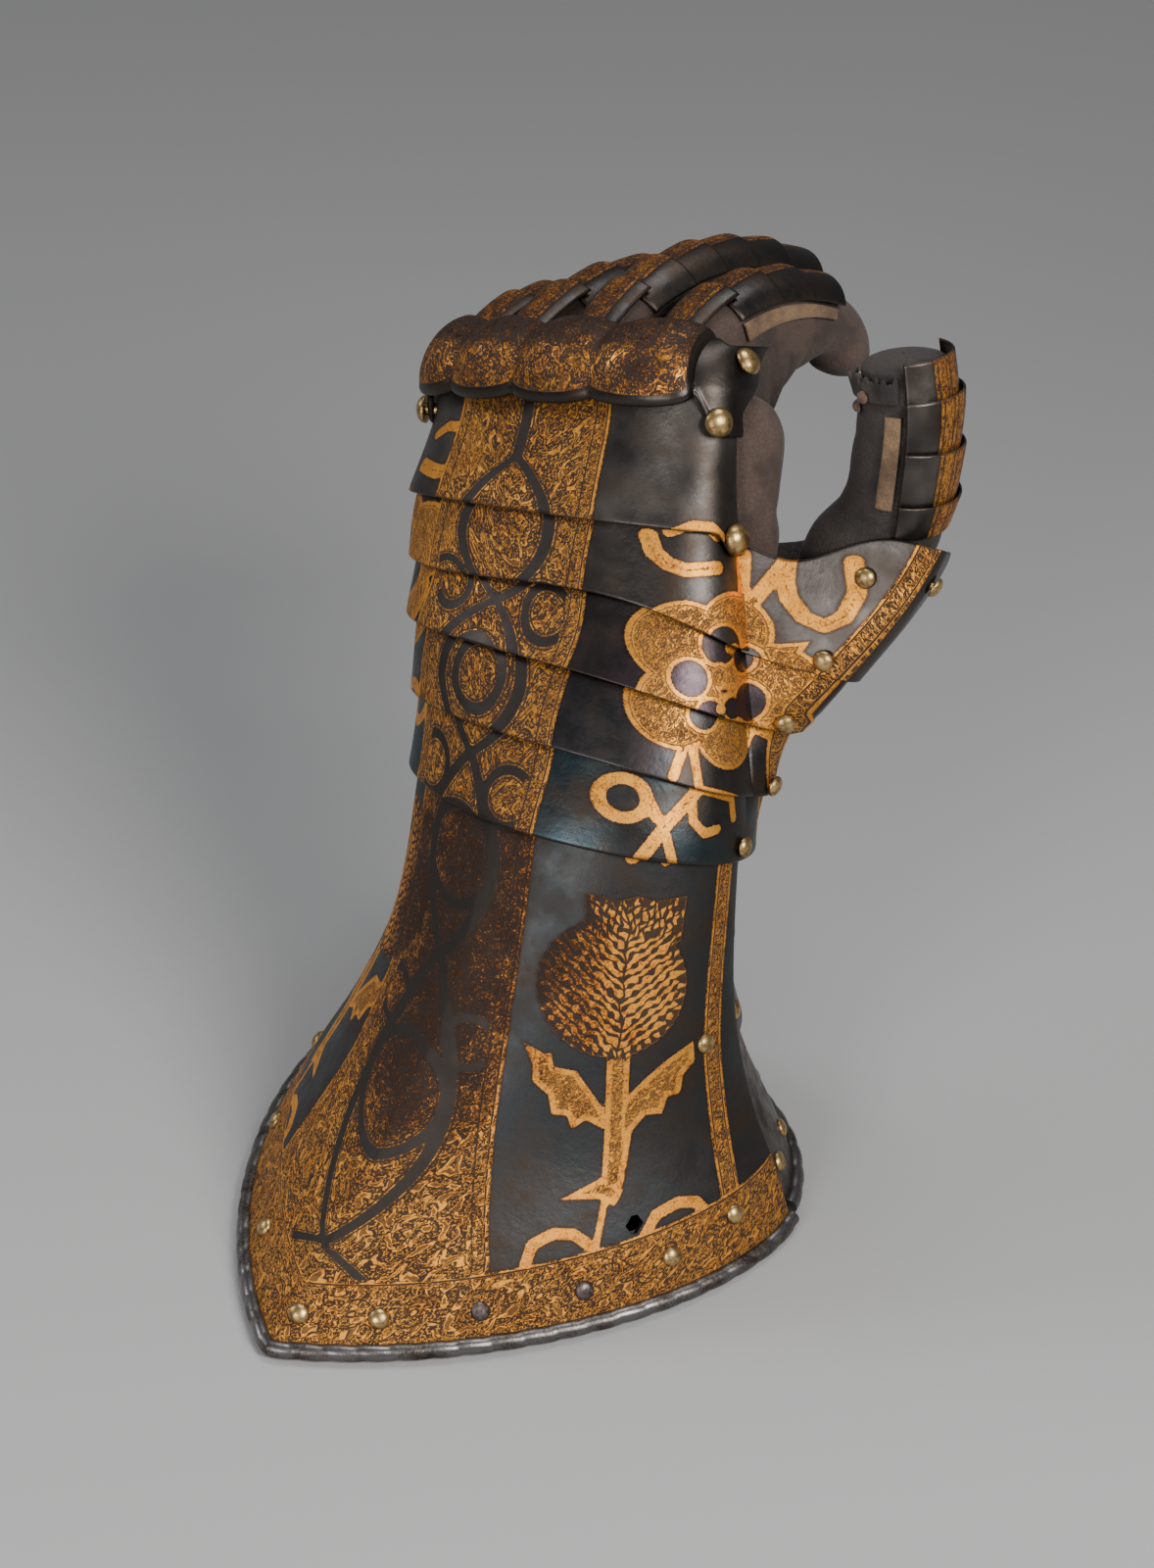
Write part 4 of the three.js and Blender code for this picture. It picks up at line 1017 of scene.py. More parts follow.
def plate_grid(angles, low, high, grain, wing=True):
    """Each point's level, angle and distance from the plate's edge, and each row's part of the height."""
    probe = np.linspace(*angles, 400)
    middle = surface(mix(low(probe), high(probe), 0.5), probe, STEEL, wing)
    along = run_of(middle)
    width = along[-1]
    angle = np.interp(eased(width, grain) * width, along, probe)
    foot, head = (surface(end(angle), angle, STEEL, wing) for end in (low, high))
    tall = np.linalg.norm(head - foot, axis=1)
    part = eased(float(tall.max()), grain)
    at = low(angle) + (high(angle) - low(angle)) * part[:, None]
    turns = np.broadcast_to(angle, at.shape)
    return at, turns, edge_distance(part[:, None], tall, eased(width, grain), width), part[:, None]


LAME_GRAIN = 0.9  # spacing of the points on the lames
PLATE_STAND = 0.3  # gap of the lames and the metacarpal plate over what they lie on


def level(value):
    """A plate's edge that stays at one level."""
    return lambda angle: np.full_like(angle, value)


def punched(at, angle, hole_at, hole_angle, radius):
    """Bends a grid round a lozenge-shaped hole; returns the block of cells that it takes out."""
    row, col = np.argmin(np.abs(at[:, 0] - hole_at)), np.argmin(np.abs(angle[0] - hole_angle))
    centre = surface(hole_at, hole_angle)
    per_level = np.linalg.norm(surface(hole_at + 0.1, hole_angle) - centre) * 10
    per_degree = np.linalg.norm(surface(hole_at, hole_angle + 1) - centre)
    reach = 2
    block = (row - reach, row + reach, col - reach, col + reach)
    at, angle = at.copy(), angle.copy()
    for r, c in hole_ring(block)[:-1]:
        f = np.arctan2(r - row, c - col)
        out = radius / (abs(np.cos(f)) + abs(np.sin(f)))
        at[r, c] = hole_at + out * 1.25 * np.sin(f) / per_level
        angle[r, c] = hole_angle + out * 0.85 * np.cos(f) / per_degree
    return at, angle, block


def cuff_outer(material):
    """The cuff's outer plate, with a lozenge hole for a lace near its rim."""
    at, angle, edge, _ = plate_grid((-SEAM, SEAM), level(0.0), level(4.35), 0.95)
    at, angle, hole = punched(at, angle, 1.26, 58.5, 2.6)
    etched = ornament(at, angle, surface(at, angle, STEEL), cuff=True)
    return closed_plate("cuff_outer_plate_etched", lambda out: surface(at, angle, out), STEEL, edge, etched,
                        material, "cuff", ["cuff_outer_plate"], hole)


def thumb_edge(angle):
    """The first lame's edge round the thumb: a notch, a point at the thumb's root and a rounded end."""
    def bell(middle, half):
        return np.exp(-((angle - middle) / half) ** 2)
    return THUMB_NOTCH - 0.2 * bell(108, 7) + 0.08 * bell(118, 6) - 0.25 * smooth((angle - 134) / 13)


def lame_plate(lame, material):
    """One of the four plates over the wrist, flared at its foot over the next."""
    def low(angle):
        return lame["low"] + lame["arch"] * np.maximum(0, np.cos(np.radians(angle - ARCH_CENTRE))) ** 2

    def high(angle):
        wing_top = thumb_edge(angle) if lame["name"] == "wrist_lame_1" else lame["high"] - 0.15
        return mix(lame["high"], wing_top, smooth((angle - 94) / 10))

    at, angle, edge, part = plate_grid((LITTLE_END, lame["thumb"]), low, high, LAME_GRAIN)
    wavy = 0.12 * np.sin(angle * 0.21) * np.sin(angle * 0.047 + lame["low"])
    stand = lame["flare"] * (1 - part) + PLATE_STAND + np.where(part < 0.2, wavy * 0.5, 0)
    etched = ornament(at, angle, surface(at, angle, STEEL + stand))
    return closed_plate(lame["name"] + "_etched", lambda out: surface(at, angle, out + stand), STEEL, edge,
                        etched, material, lame["body"], [lame["name"]])


def metacarpal(material):
    """The plate over the back of the hand."""
    def low(angle):
        return 8 - 0.17 * smooth(1 - (np.abs(np.abs(angle) - 94) - 3) / 9)

    at, angle, edge, part = plate_grid((-112, 97), low, level(9.8), LAME_GRAIN, wing=False)
    stand = LAME_FLARE * (1 - part) ** 2.5 + PLATE_STAND
    etched = ornament(at, angle, surface(at, angle, STEEL + stand, False))
    return closed_plate("metacarpal_plate_etched", lambda out: surface(at, angle, out + stand, False), STEEL,
                        edge, etched, material, "hand", ["metacarpal_plate"])


def knuckle_gilding(angle, along, foot_lip, across):
    """Gold on the lower half of each boss, rubbed away on the tops and at a spot on the index one."""
    height = dome_at(angle)
    gold = np.minimum(np.minimum(foot_lip - 2.6, 16.5 - along), (height - 0.4) * 1.4)
    gold = np.minimum(gold, (64 - angle) * 0.5)
    top = smooth((along - 6.5) / 4)
    bare_spot = np.exp(-((angle - 45) / 7) ** 2 - ((along - 4) / 3.4) ** 2)
    worn = 0.42 + 0.55 * top + 0.3 * (1 - smooth(height / 3.2)) + 0.5 * bare_spot
    return plain_marks(gold, NOWHERE, worn, across, along)


def knuckle(material):
    """The knuckle plate: four bosses with a scalloped lip, and an ear down each side to its rivets."""
    angles = mix(-104.0, 108.0, eased(220, 0.95))
    side = smooth((np.abs(angles) - 66) / 16)
    low = mix(0.4 - 0.62 * dome_at(angles), -8.8, side)
    high = mix(KNUCKLE_END, np.radians(58) * KNUCKLE_BEND, side)
    part = eased(28, 0.85)[:, None]
    along = low + (high - low) * part
    tuck = np.sign(angles) * 12 * smooth((np.abs(angles) - 84) / 20) * smooth((4 - along) / 8)
    angle = angles - tuck
    across = run_of(knuckle_point(angle, along, STEEL)[len(part) // 2])
    edge = np.minimum(np.minimum(part, 1 - part) * (high - low), np.minimum(across, across[-1] - across))
    foot_lip = along - low
    lip = 0.35 * np.exp(-((foot_lip - 1.3) / 1.0) ** 2)

    def points_at(out):
        return knuckle_point(angle, along, out + np.where(out > STEEL / 2, lip, 0))

    return closed_plate("knuckle_plate_etched", points_at, STEEL, edge,
                        knuckle_gilding(angle, along, foot_lip, across), material, "hand", ["knuckle_plate"])


def inner_plate(name, low, high, foot, head, material):
    """A plate of the inner side, sunk by `foot` at its foot and `head` at its top."""
    at, angle, edge, part = plate_grid((SEAM - 6, 366 - SEAM), low, level(high), 1.5)
    stand = mix(-foot, -head, part)
    return closed_plate(name + "_forged", lambda out: surface(at, angle, out + stand), STEEL, edge, {},
                        material, "cuff", [name])


def clear_of_bead(angle):
    """The inner cuff plate's foot, lifted over the outer plate's bead near the seams."""
    return np.where(np.abs(angle - 180) > 180 - SEAM - 3, 0.42, 0.0)


# ---------------------------------------------------------------- rope, rivets
ROPE = {"radius": 2.1, "groove": 0.34, "lay": 7.5, "sides": 18}  # the roped rim


def rim_rope(name, start, end, out, material):
    """The turned rim, filed like a rope: a tube with slanting grooves along the cuff's edge."""
    probe = np.linspace(start, end, 500)
    path = surface(0, probe, out)
    along = run_of(path)
    travel = np.linspace(0, along[-1], int(along[-1] / 0.55))
    angle = np.interp(travel, along, probe)
    ax, ay = flat_point(np.zeros_like(angle), angle + 1.5, False)
    bx, by = flat_point(np.zeros_like(angle), angle - 1.5, False)
    facing = unit(np.stack([ay - by, bx - ax, np.zeros_like(ax)], -1))
    keel = np.exp(-(angle / 1.2) ** 2)[:, None]
    facing = unit(facing * (1 - keel) + np.array([0, -1.0, 0]) * keel)
    centre = surface(0, angle, out)
    centre[:, 2] = ROPE["radius"]
    f = np.linspace(0, 2 * np.pi, ROPE["sides"], endpoint=False)
    strand = np.abs(np.sin(np.pi * travel[:, None] / ROPE["lay"] + f / 2)) ** 0.55
    reach = ROPE["radius"] - ROPE["groove"] * (1 - strand)
    rings = centre[:, None] + reach[..., None] * (
        facing[:, None] * np.cos(f)[:, None] + np.array([0, 0, 1.0]) * np.sin(f)[:, None])
    points, faces = loft_mesh(rings)
    return make_object(name, points, faces, {}, material, "cuff", (), 60)


def loft_mesh(rings):
    """Points and faces of a closed body through rings of equal count, with a fan at each end."""
    count, sides = rings.shape[:2]
    points = np.concatenate([rings.reshape(-1, 3), [rings[0].mean(0)], [rings[-1].mean(0)]])
    index = np.arange(count * sides).reshape(count, sides)
    around = np.concatenate([index, index[:, :1]], axis=1)
    faces = grid_quads(around).reshape(-1, 4).tolist()
    faces += [[b, a, count * sides] for a, b in zip(around[0, :-1].tolist(), around[0, 1:].tolist())]
    faces += [[a, b, count * sides + 1] for a, b in zip(around[-1, :-1].tolist(), around[-1, 1:].tolist())]
    return points, faces


RIVET = {"radius": 2.5, "rise": 1.6, "shank": 1.1}
BALL_RIVET = {"radius": 3.7, "rise": 3.0, "shank": 1.4}
KNUCKLE_RIVET = {"radius": 3.4, "rise": 2.4, "shank": 1.4}


RIVET_SIDES = 22


def rivet_rings(size, point, facing, depth, dents):
    """Rings of a domed head on its shank, faintly uneven as hammered brass is."""
    along = unit(np.asarray(facing, float))
    side = unit(np.cross(along, [0.3, 0.2, 0.93]))
    other = np.cross(along, side)
    rows = [(-depth, size["shank"]), (-0.02, size["shank"]), (0.0, size["radius"] * 0.97)]
    rows += [(size["rise"] * np.sin(t), size["radius"] * np.cos(t)) for t in np.linspace(0.12, 1.5, 8)]
    f = np.linspace(0, 2 * np.pi, RIVET_SIDES, endpoint=False)
    seed = float(np.sum(point))
    uneven = 1 + dents * (np.sin(3 * f + seed) + 0.6 * np.sin(5 * f + 2 * seed))
    circle = uneven[:, None] * (np.cos(f)[:, None] * side + np.sin(f)[:, None] * other)
    return np.array([point + along * up + r * circle for up, r in rows])


def rivet(name, size, point, facing, depth, material, body, nodes, dents=0.012):
    """A rivet at a point, its shank sunk `depth` below its head."""
    points, faces = loft_mesh(rivet_rings(size, point, facing, depth, dents))
    make_object(name, points, faces, {}, material, body, nodes, 50)


RIM_STUDS = [(-90, 0.95), (-72, 0.8), (-50, 0.55), (-22, 0.5), (1.5, 0.45), (15.5, 0.45), (32, 0.5),
             (49.5, 0.58), (66.5, 0.74), (83, 0.95), (83, 2.72), (-83, 2.72)]  # angle and level
IRON_STUDS = (32, 49.5)
IRON_RIVET = dict(RIVET, radius=2.3, rise=1.2)
INNER_STUDS = (112, 127, 150, 180, 210, 233, 248)
INNER_LAME_STUDS = [(7, 2.75, 0.5), (8, 3.9, 1.1)]  # degrees past the seam, level and depth sunk
PIVOTS = [("pivot_4", 4.17, 97, -97), ("pivot_3", 5.17, 117, -99), ("pivot_2", 6.17, 118, -99),
          ("pivot_1", 7.15, 119, -99)]
KNUCKLE_PINS = [  # node, angle, height along the plate and depth of the shank
    ("knuckle_pivot_thumb_side", 80, -5.5, 4.1), ("knuckle_pivot_little_side", -80, -5.5, 4.1),
    ("knuckle_rivet_thumb_side", 94, 7.5, 2.6), ("knuckle_rivet_little_side", -91, 7.5, 2.6),
]


def surface_rivet(name, at, angle, out, depth, material, body, nodes=(), size=RIVET, slot="brass"):
    """A rivet on the surface of the section, its head `out` from the section curve."""
    facing = surface_normal(at, angle)
    rivet(name, size, surface(at, angle, out), facing, depth, material, body, nodes)


def cuff_rivets(brass, iron):
    """The studs round the cuff, two of them iron ones, and those of the plates under the wrist."""
    for index, (angle, at) in enumerate(RIM_STUDS):
        worn = {"size": IRON_RIVET, "slot": "steel"} if angle in IRON_STUDS else {}
        material = iron if worn else brass
        surface_rivet(f"cuff_rivet_{index + 1}", at, angle, STEEL - 0.1, 0.8, material, "cuff", **worn)
    for index, angle in enumerate(INNER_STUDS):
        surface_rivet(f"cuff_inner_rivet_{index + 1}", 0.85, angle, STEEL - LAP - 0.9, 0.8, brass, "cuff")
    for row, (past, at, sunk) in enumerate(INNER_LAME_STUDS):
        for side, angle in enumerate((SEAM + past, 360 - SEAM - past)):
            name = f"inner_lame_rivet_{2 * row + side + 1}"
            surface_rivet(name, at, angle, STEEL - LAP - sunk, 0.8, brass, "cuff")


def hinge_rivets(brass):
    """The two rivets that each wrist lame turns on, standing on the lame's flare."""
    for (name, at, thumb, little), lame in zip(PIVOTS, LAMES):
        part = (at - lame["low"]) / (lame["high"] - lame["low"])
        stand = lame["flare"] * (1 - part) + PLATE_STAND + STEEL + AIR + 0.3
        for side, angle in (("thumb", thumb), ("little", little)):
            node = f"{name}_{side}_side"
            surface_rivet(node + "_head", at, angle, stand, 4.6, brass, node_body(node), [node])


def node_body(node):
    return frame["nodes"][node]["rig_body"]


def hand_rivets(brass):
    """The ball rivets by the wrist, the knuckle plate's pivots and rivets, and the thumb's."""
    for side, angle in (("thumb", 92.5), ("little", -95)):
        node = f"ball_rivet_{side}_side"
        point, facing = surface(7.97, angle, 4.3, False), surface_normal(7.97, angle, False)
        rivet(node + "_head", BALL_RIVET, point, facing, 4.4, brass, "hand", [node], 0.02)
    for node, angle, along, depth in KNUCKLE_PINS:
        point = knuckle_point(angle, along, STEEL + AIR + 0.6)
        facing = knuckle_point(angle, along, 1) - knuckle_point(angle, along, 0)
        rivet(node + "_head", KNUCKLE_RIVET, point, facing, depth, brass, "hand", [node], 0.015)
    for index, angle in enumerate((118, 127)):
        node = f"thumb_rivet_{index + 1}"
        surface_rivet(node + "_head", 7.8, angle, 2.9, 3, brass, "hand", [node])


# ---------------------------------------------------------------- fingers and thumb
def scale_grid(angles, width, ends, tall, grain):
    """A small plate's points: their angle, place along, distance from its edge and part of its height."""
    across, up = eased(width, grain), eased(tall, grain)[:, None]
    edge = edge_distance(up, tall, across, width)
    return mix(*angles, across) + 0 * up, mix(*ends, up) + 0 * across, edge, up + 0 * across


def finger_scale(finger, index, material):
    """One lapping scale over a finger, with a lined gilt stripe down its middle."""
    path = finger_path(finger)
    pitch = (finger["length"] - 2) / finger["scales"]
    start = FIRST_SCALE if index == 0 else SECOND_SCALE + pitch * index
    end = SECOND_SCALE + pitch * (index + 1) + SCALE_OVERLAP
    span = FIRST_SPAN if index == 0 else SCALE_SPAN
    round_at = finger["radius"] + 1.5
    width = 2 * np.radians(span) * round_at
    angle, s, edge, up = scale_grid((-span, span), width, (start, end), end - start, 0.7)
    stand = AIR + SCALE_FLARE * up
    u = np.radians(angle) * round_at
    stripe = 3.4 - np.abs(u)
    worn = 0.55 + 0.25 * (1 - up) + 0.1 * np.abs(angle) / span
    lined = plain_marks(stripe, np.where(stripe > 0, stripe, NOWHERE), worn, u + finger["angle"], s)

    def points_at(out):
        return finger_point(finger, path, s, finger["radius"] + stand + out, angle)

    name = f"{finger['name']}_scale_{index + 1}"
    return closed_plate(name + "_etched", points_at, SCALE_STEEL, edge, lined, material, "hand", [name])


def thumb_lame(lame, index, material):
    """One lapping plate down the thumb, with a wider lined stripe."""
    low, high, flare = lame
    reach = float(np.linalg.norm(thumb_centre(high) - thumb_centre(low)))
    width = np.radians(THUMB_SPAN[1] - THUMB_SPAN[0]) * 12
    angle, part, edge, up = scale_grid(THUMB_SPAN, width, (low, high), reach, 0.75)
    stand = AIR + flare * up
    u = np.radians(angle - 4) * 12
    stripe = 4.6 - np.abs(u)
    lined = plain_marks(stripe, np.where(stripe > 0, stripe, NOWHERE), 0.3, u, part * 100)

    def points_at(out):
        return thumb_point(part, angle, stand + out)

    name = f"thumb_lame_{index + 1}"
    return closed_plate(name + "_etched", points_at, SCALE_STEEL, edge, lined, material, "hand", [name])


def folds(along, angle, pitch, depth):
    """Creases across a sleeve of leather, deepest on its inner side, with a little drift."""
    drift = 0.9 * np.sin(angle * 2 + along * 0.13) + 0.5 * np.sin(angle * 3 - along * 0.21)
    crease = np.abs(np.sin(np.pi * (along + drift) / pitch)) ** 0.6
    inner = 0.35 + 0.65 * np.clip(-np.cos(angle), 0, 1)
    return -depth * (1 - crease) * inner


INDEX_SHORTER = 5.0  # the index finger's leather stops this short of its solid


def finger_sleeve(finger, material):
    """The leather of one finger, creased across its inner side and closed at its tip."""
    path = finger_path(finger)
    sides = 40
    body = finger_reach(finger) - finger["radius"] - (INDEX_SHORTER if finger["name"] == "index" else 0)
    tip = np.linspace(0, np.pi / 2 * 0.96, 9)[1:]
    s = np.concatenate([np.linspace(6, body, int(body / 1.1)), body + finger["radius"] * 0.95 * np.sin(tip)])
    shrink = np.concatenate([np.ones(len(s) - len(tip)), np.cos(tip)])[:, None]
    angle = np.linspace(0, 360, sides, endpoint=False)[None, :] + 0 * s[:, None]
    along = s[:, None] + 0 * angle
    dent = folds(along, np.radians(angle), 9.5, 0.75)
    dent = dent - 0.35 * (0.5 + 0.5 * np.sin(along * 0.33 + np.radians(angle)))
    belly = finger_belly(finger, along)

    def points_at(out):
        radius = (finger["radius"] - LEATHER + out + dent) * shrink
        return finger_point(finger, path, along, radius, angle, belly)

    return sleeve(f"glove_{finger['name']}_finger", points_at, len(s), sides, material)


def thumb_sleeve(material):
    """The leather of the thumb, with the web that joins it to the palm."""
    sides = 44
    tip = np.linspace(0, np.pi / 2 * 0.95, 8)[1:]
    part = np.concatenate([np.linspace(0.02, 0.935, 90), 0.935 + 0.034 * np.sin(tip)])[:, None]
    shrink = np.concatenate([np.zeros(90), 8.6 * (1 - np.cos(tip))])[:, None]
    angle = np.linspace(0, 360, sides, endpoint=False)[None, :] + 0 * part
    along = part * 110 + 0 * angle
    dent = folds(along, np.radians(angle + 150), 11, 0.9)
    toward = np.maximum(0, np.cos(np.radians(angle - WEB["facing"])))
    web = WEB["reach"] * smooth((WEB["from"] - part) / WEB["over"]) * toward ** 2

    def points_at(out):
        return thumb_point(part, angle, out - LEATHER - shrink + dent + web)

    return sleeve("glove_thumb", points_at, len(part), sides, material)


PALM_SWELL = 10.5
HAND_CLEAR = 1.7  # the leather lies this far inside the section curve
CROWN_RISE = np.array([0.10, 0.22, 0.34, 0.44, 0.50, 0.53])  # levels of the last rings, past 9.1
CROWN_DRAW = np.array([0.1, 0.3, 0.6, 1.0, 1.9, 3.4, 5.5, 8.0, 10.8, 13.6])  # and how far they close in


def palm_sleeve(material):
    """The hand of the glove, with the palm's hollow and creases, closed over behind the knuckles."""
    sides = 150
    angle = np.linspace(0, 360, sides, endpoint=False)[None, :]
    at = np.concatenate([np.linspace(6.5, 9.1, 44), 9.1 + CROWN_RISE])[:, None] + 0 * angle
    angle = angle + 0 * at
    draw = np.concatenate([np.zeros(40), CROWN_DRAW])[:, None]
    swell = PALM_SWELL * smooth((angle - 97) / 15) * smooth((241 - angle) / 26)
    f = np.radians(angle)
    u, v = 44 * np.sin(f), at * 17
    crease = (np.exp(-((u - 8 - 0.5 * (v - 135)) / 1.6) ** 2) + np.exp(-((v - 143 + 0.25 * u) / 1.5) ** 2)
              + 0.7 * np.exp(-((v - 128 - 0.3 * u) / 1.4) ** 2))
    palm_side = smooth((angle - 105) / 20) * smooth((255 - angle) / 20)
    dent = -palm_side * (1.1 * crease + 0.5 * np.sin(v * 0.25 + u * 0.1) ** 2)

    def points_at(out):
        return surface(at, angle, swell - HAND_CLEAR - LEATHER + out + dent - draw, False)

    return sleeve("glove_palm", points_at, len(at), sides, material, ["glove"])


# ---------------------------------------------------------------- trim of the glove
TRIM = 1.1  # thickness of the edgings and the flap
THONG_KNOT = {"radius": 1.5, "rise": 1.4, "shank": 1.0}


def strip_grid(length, width, grain_up, grain_across):
    """Parts up and across a strip, and the distance from its edge."""
    up, across = eased(length, grain_up)[:, None], eased(width, grain_across)[None, :]
    return up, across, edge_distance(up, length, across, width)


def edging(name, points_at, length, width, material, node):
    """A strip of suede with a soft, uneven edge."""
    up, across, edge = strip_grid(length, width, 0.6, 0.5)
    v = across + 0.05 * np.sin(up * length * 0.9) * np.sin(np.pi * across)
    bulge = 0.25 * np.sin(up * length * 1.1 + across * 3) * np.sin(np.pi * across)
    return closed_plate(name, lambda out: points_at(up + 0 * across, v, out + bulge), TRIM, edge, {},
                        material, "hand", [node], sharp=75)


def index_edging(material):
    """The suede strip along the index finger's thumb side."""
    finger = next(row for row in FINGERS if row["name"] == "index")
    path = finger_path(finger)

    def points_at(u, v, out):
        s = mix(30, 62, u)
        radius = finger["radius"] + AIR + out
        return finger_point(finger, path, s, radius, mix(80, 95, v), finger_belly(finger, s))

    return edging("index_edging", points_at, 32, 4.5, material, "index_suede_edging")


def thumb_edging(material):
    """The suede strip along the thumb, beside its lames."""
    def points_at(u, v, out):
        return thumb_point(mix(0.56, 0.8, u), mix(-78, -60, v), AIR + out)

    return edging("thumb_edging", points_at, 26, 4.0, material, "thumb_suede_edging")


def tip_flap(material):
    """The torn end of leather over the thumb's tip, ruffled along its free edge."""
    up, across, edge = strip_grid(10, 20, 0.4, 0.4)
    ragged = 0.10 * np.sin(across * 47) + 0.07 * np.sin(across * 91 + 1)
    part = mix(0.84, 0.93, up * (0.88 + ragged)) + 0 * across
    ruffle = 1.6 * up * np.sin(3 * np.pi * across) ** 2

    def points_at(out):
        return thumb_point(part, mix(-150, -62, across), AIR + out + ruffle)

    return closed_plate("thumb_tip_leather", points_at, TRIM, edge, {}, material, "hand", ["thumb_tip_flap"],
                        sharp=75)


def thong_knots(material):
    """Two small knots of leather thong, each a dented lump on the thumb."""
    for index, angle in enumerate((-128, -104)):
        at = mix(0.8, 0.86, index)
        base = thumb_point(at, angle, AIR + (1.7 if index else 0))
        facing = unit(thumb_point(at, angle, 1) - thumb_point(at, angle, 0))
        node = f"thumb_thong_knot_{index + 1}"
        rivet(node + "_tied", THONG_KNOT, base, facing, 0.0, material, "hand", [node], 0.07)


# ---------------------------------------------------------------- stage, light and camera
TARGET = Vector((0.00809, -0.00529, 0.100))
EYE_WAY = Vector((0.520, -0.620, 0.588))  # direction from the target to the camera
EYE_DISTANCE = 1.3
SENSOR = 36.0
LENS = 130.2
FLOOR_REACH = 6.0
WORLD = {"colour": (0.72, 0.73, 0.75, 1), "strength": 0.22}
LIGHTS = [  # name, place and diameter in metres, power in watts, colour
    ("key", (1.35, -0.25, 1.2), 0.8, 36, (1.0, 0.98, 0.95)),
    ("front", (0.35, -1.7, 0.75), 0.7, 17, (1.0, 0.98, 0.96)),
    ("left", (-1.5, -0.6, 1.1), 0.7, 12, (0.93, 0.96, 1.0)),
    ("top", (-0.2, 0.7, 1.9), 0.9, 16, (0.97, 0.98, 1.0)),
]


def aimed(obj, place_at, target):
    obj.location = place_at
    obj.rotation_euler = (Vector(target) - Vector(place_at)).to_track_quat("-Z", "Y").to_euler()
    bpy.context.scene.collection.objects.link(obj)
    return obj


def camera():
    data = bpy.data.cameras.new("camera")
    data.sensor_fit = "VERTICAL"
    data.sensor_height = SENSOR
    data.lens = LENS
    data.clip_end = 20
    eye = TARGET + EYE_WAY * EYE_DISTANCE
    bpy.context.scene.camera = aimed(bpy.data.objects.new("camera", data), eye, TARGET)


def soft_light(name, place_at, size, power, colour):
    data = bpy.data.lights.new(name, "AREA")
    data.shape = "DISK"
    data.size = size
    data.energy = power
    data.color = colour
    aimed(bpy.data.objects.new(name, data), place_at, TARGET)


def floor():
    """A pale paper sweep with painted light falloff: its colour darkens towards the back."""
    mesh = bpy.data.meshes.new("floor")
    corners = [(x * FLOOR_REACH, y * FLOOR_REACH, 0) for x, y in ((-1, -1), (1, -1), (1, 1), (-1, 1))]
    mesh.from_pydata(corners, [], [(0, 1, 2, 3)])
    net = Net("studio_floor_painted_falloff")
    x, y, _ = net.parts(net.place)
    # Painted light falloff: the floor's colour grows darker from front to back, standing in for the lamps'
    # light falling off.
    back = net.math("MULTIPLY_ADD", y, 0.77, net.times(x, -0.64))
    net.bump(net.noise(1.5, 3, 0.6), 0.02)
    tone = net.mix(net.step(back, -420, 620), (0.40, 0.40, 0.40), (0.15, 0.15, 0.152))
    mesh.materials.append(net.finish(tone, 0.85, 0.0))
    obj = bpy.data.objects.new("floor", mesh)
    bpy.context.scene.collection.objects.link(obj)


def studio():
    camera()
    floor()
    world = bpy.data.worlds.new("studio")
    world.use_nodes = True
    background = world.node_tree.nodes["Background"].inputs
    background["Color"].default_value = WORLD["colour"]
    background["Strength"].default_value = WORLD["strength"]
    bpy.context.scene.world = world
    for light in LIGHTS:
        soft_light(*light)


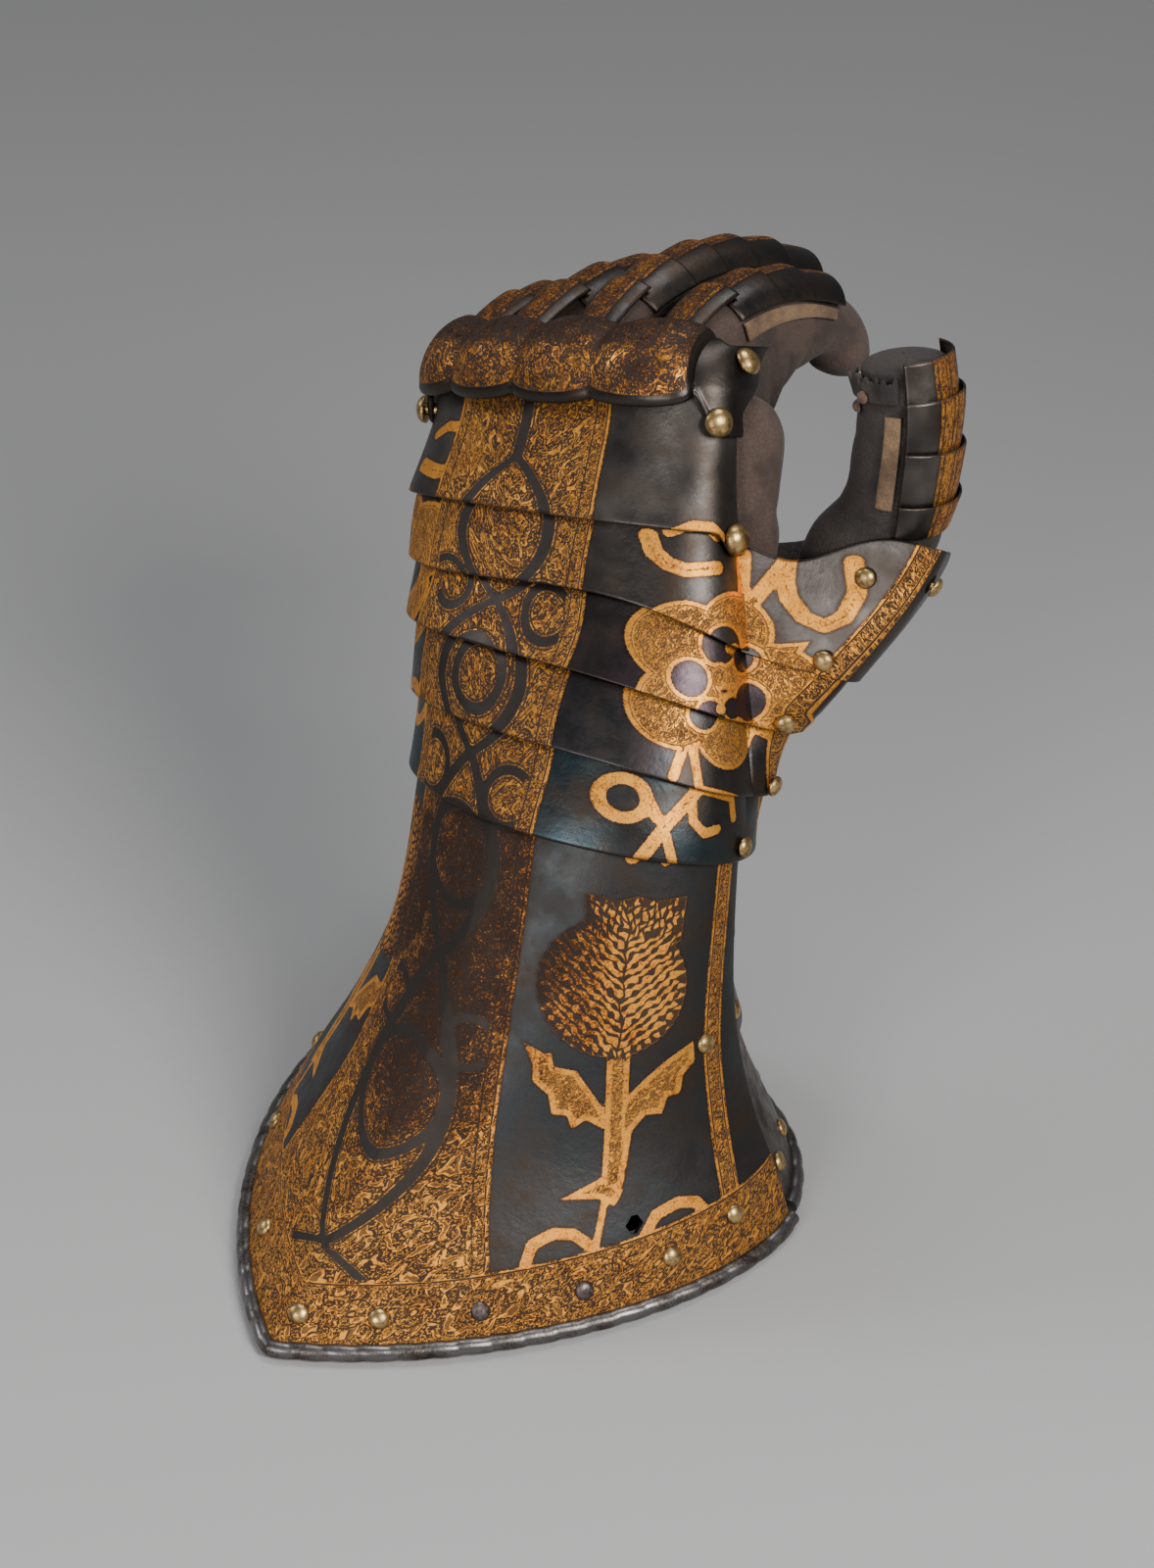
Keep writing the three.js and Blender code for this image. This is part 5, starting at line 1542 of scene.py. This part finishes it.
def gauntlet():
    """Every material, then every piece, each with the material it is made of."""
    cuff_steel = gilt_steel("etched_cuff_steel", (0.032, 0.042, 0.048), 0.55, dull=0.11)
    lame_steel = {
        "wrist_lame_4": gilt_steel("etched_lame_steel_teal", (0.020, 0.044, 0.056), 0.8),
        "wrist_lame_3": gilt_steel("etched_lame_steel", (0.042, 0.042, 0.052), 0.5),
        "wrist_lame_2": gilt_steel("etched_lame_steel_purple", (0.062, 0.038, 0.050), 0.6),
        "wrist_lame_1": gilt_steel("etched_lame_steel_brown", (0.090, 0.078, 0.070), 0.7, dull=0.03),
    }
    # The hand steel's pale tint patches are partly its real brown-grey tone and partly a painted highlight,
    # a soft broad sheen laid into the colour.
    hand_steel_with_painted_highlight = gilt_steel("etched_hand_steel", (0.105, 0.092, 0.083), 0.9, worn=-0.02, dull=0.05)
    knuckle_steel = gilt_steel("etched_knuckle_steel", (0.060, 0.052, 0.046), 0.5)
    scale_steel = gilt_steel("etched_scale_steel", lined=True)
    # The thumb lames' light tint patches are partly real speckled wear and partly a painted highlight on
    # their facets.
    thumb_steel_with_painted_highlight = gilt_steel("etched_thumb_steel", (0.135, 0.118, 0.105), 0.95, lined=True)
    brass = plain_metal("aged_brass", (0.52, 0.36, 0.15), (0.17, 0.10, 0.045), (0.28, 0.45), patch=2.2)
    iron = plain_metal("dark_iron", (0.16, 0.13, 0.12), (0.05, 0.035, 0.03), (0.4, 0.6), patch=1.5)
    inner_steel = plain_metal("plain_inner_steel", (0.10, 0.088, 0.08), (0.045, 0.03, 0.022), (0.35, 0.55),
                              patch=7)
    rope_steel = plain_metal("filed_rim_steel", (0.17, 0.16, 0.155), (0.045, 0.033, 0.027), (0.3, 0.5),
                             patch=9)
    dark_leather = hide("dark_glove_leather", (0.027, 0.018, 0.014), (0.011, 0.008, 0.007),
                        (0.058, 0.040, 0.030), sheen=0.04)
    brown_suede = hide("brown_suede", (0.060, 0.037, 0.028), (0.030, 0.019, 0.015), (0.095, 0.063, 0.048),
                       grain=0.6, shine=(0.85, 0.95), sheen=0.06)
    tan_suede = hide("tan_suede", (0.16, 0.095, 0.048), (0.065, 0.036, 0.021), (0.27, 0.18, 0.10), grain=0.5,
                     shine=(0.88, 0.97), sheen=0.1)
    thong = hide("leather_thong", (0.13, 0.062, 0.037), (0.05, 0.025, 0.017), (0.2, 0.11, 0.07), grain=0.4)

    sunk = 2 * LAP  # the tops of the inner plates pass under one lap more
    cuff_outer(cuff_steel)
    inner_plate("cuff_inner_plate", clear_of_bead, 2.7, LAP, sunk + 0.6, inner_steel)
    inner_plate("wrist_inner_lame_lower", level(2.5), 3.5, LAP, sunk + 0.6, inner_steel)
    inner_plate("wrist_inner_lame_upper", level(3.3), 4.3, LAP, sunk, inner_steel)
    rim_rope("cuff_rim_rope", -SEAM, SEAM, RIM_OUT, rope_steel)
    rim_rope("cuff_inner_rim_rope", SEAM + 4, 356 - SEAM, RIM_OUT - LAP, rope_steel)
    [lame_plate(lame, lame_steel[lame["name"]]) for lame in LAMES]
    metacarpal(hand_steel_with_painted_highlight)
    knuckle(knuckle_steel)
    for finger in FINGERS:
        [finger_scale(finger, n, scale_steel) for n in range(finger["scales"])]
        finger_sleeve(finger, brown_suede)
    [thumb_lame(lame, n, thumb_steel_with_painted_highlight) for n, lame in enumerate(THUMB_LAMES)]
    thumb_sleeve(dark_leather)
    tip_flap(dark_leather)
    palm_sleeve(brown_suede)
    index_edging(tan_suede)
    thumb_edging(tan_suede)
    cuff_rivets(brass, iron)
    hinge_rivets(brass)
    hand_rivets(brass)
    thong_knots(thong)


studio()
gauntlet()
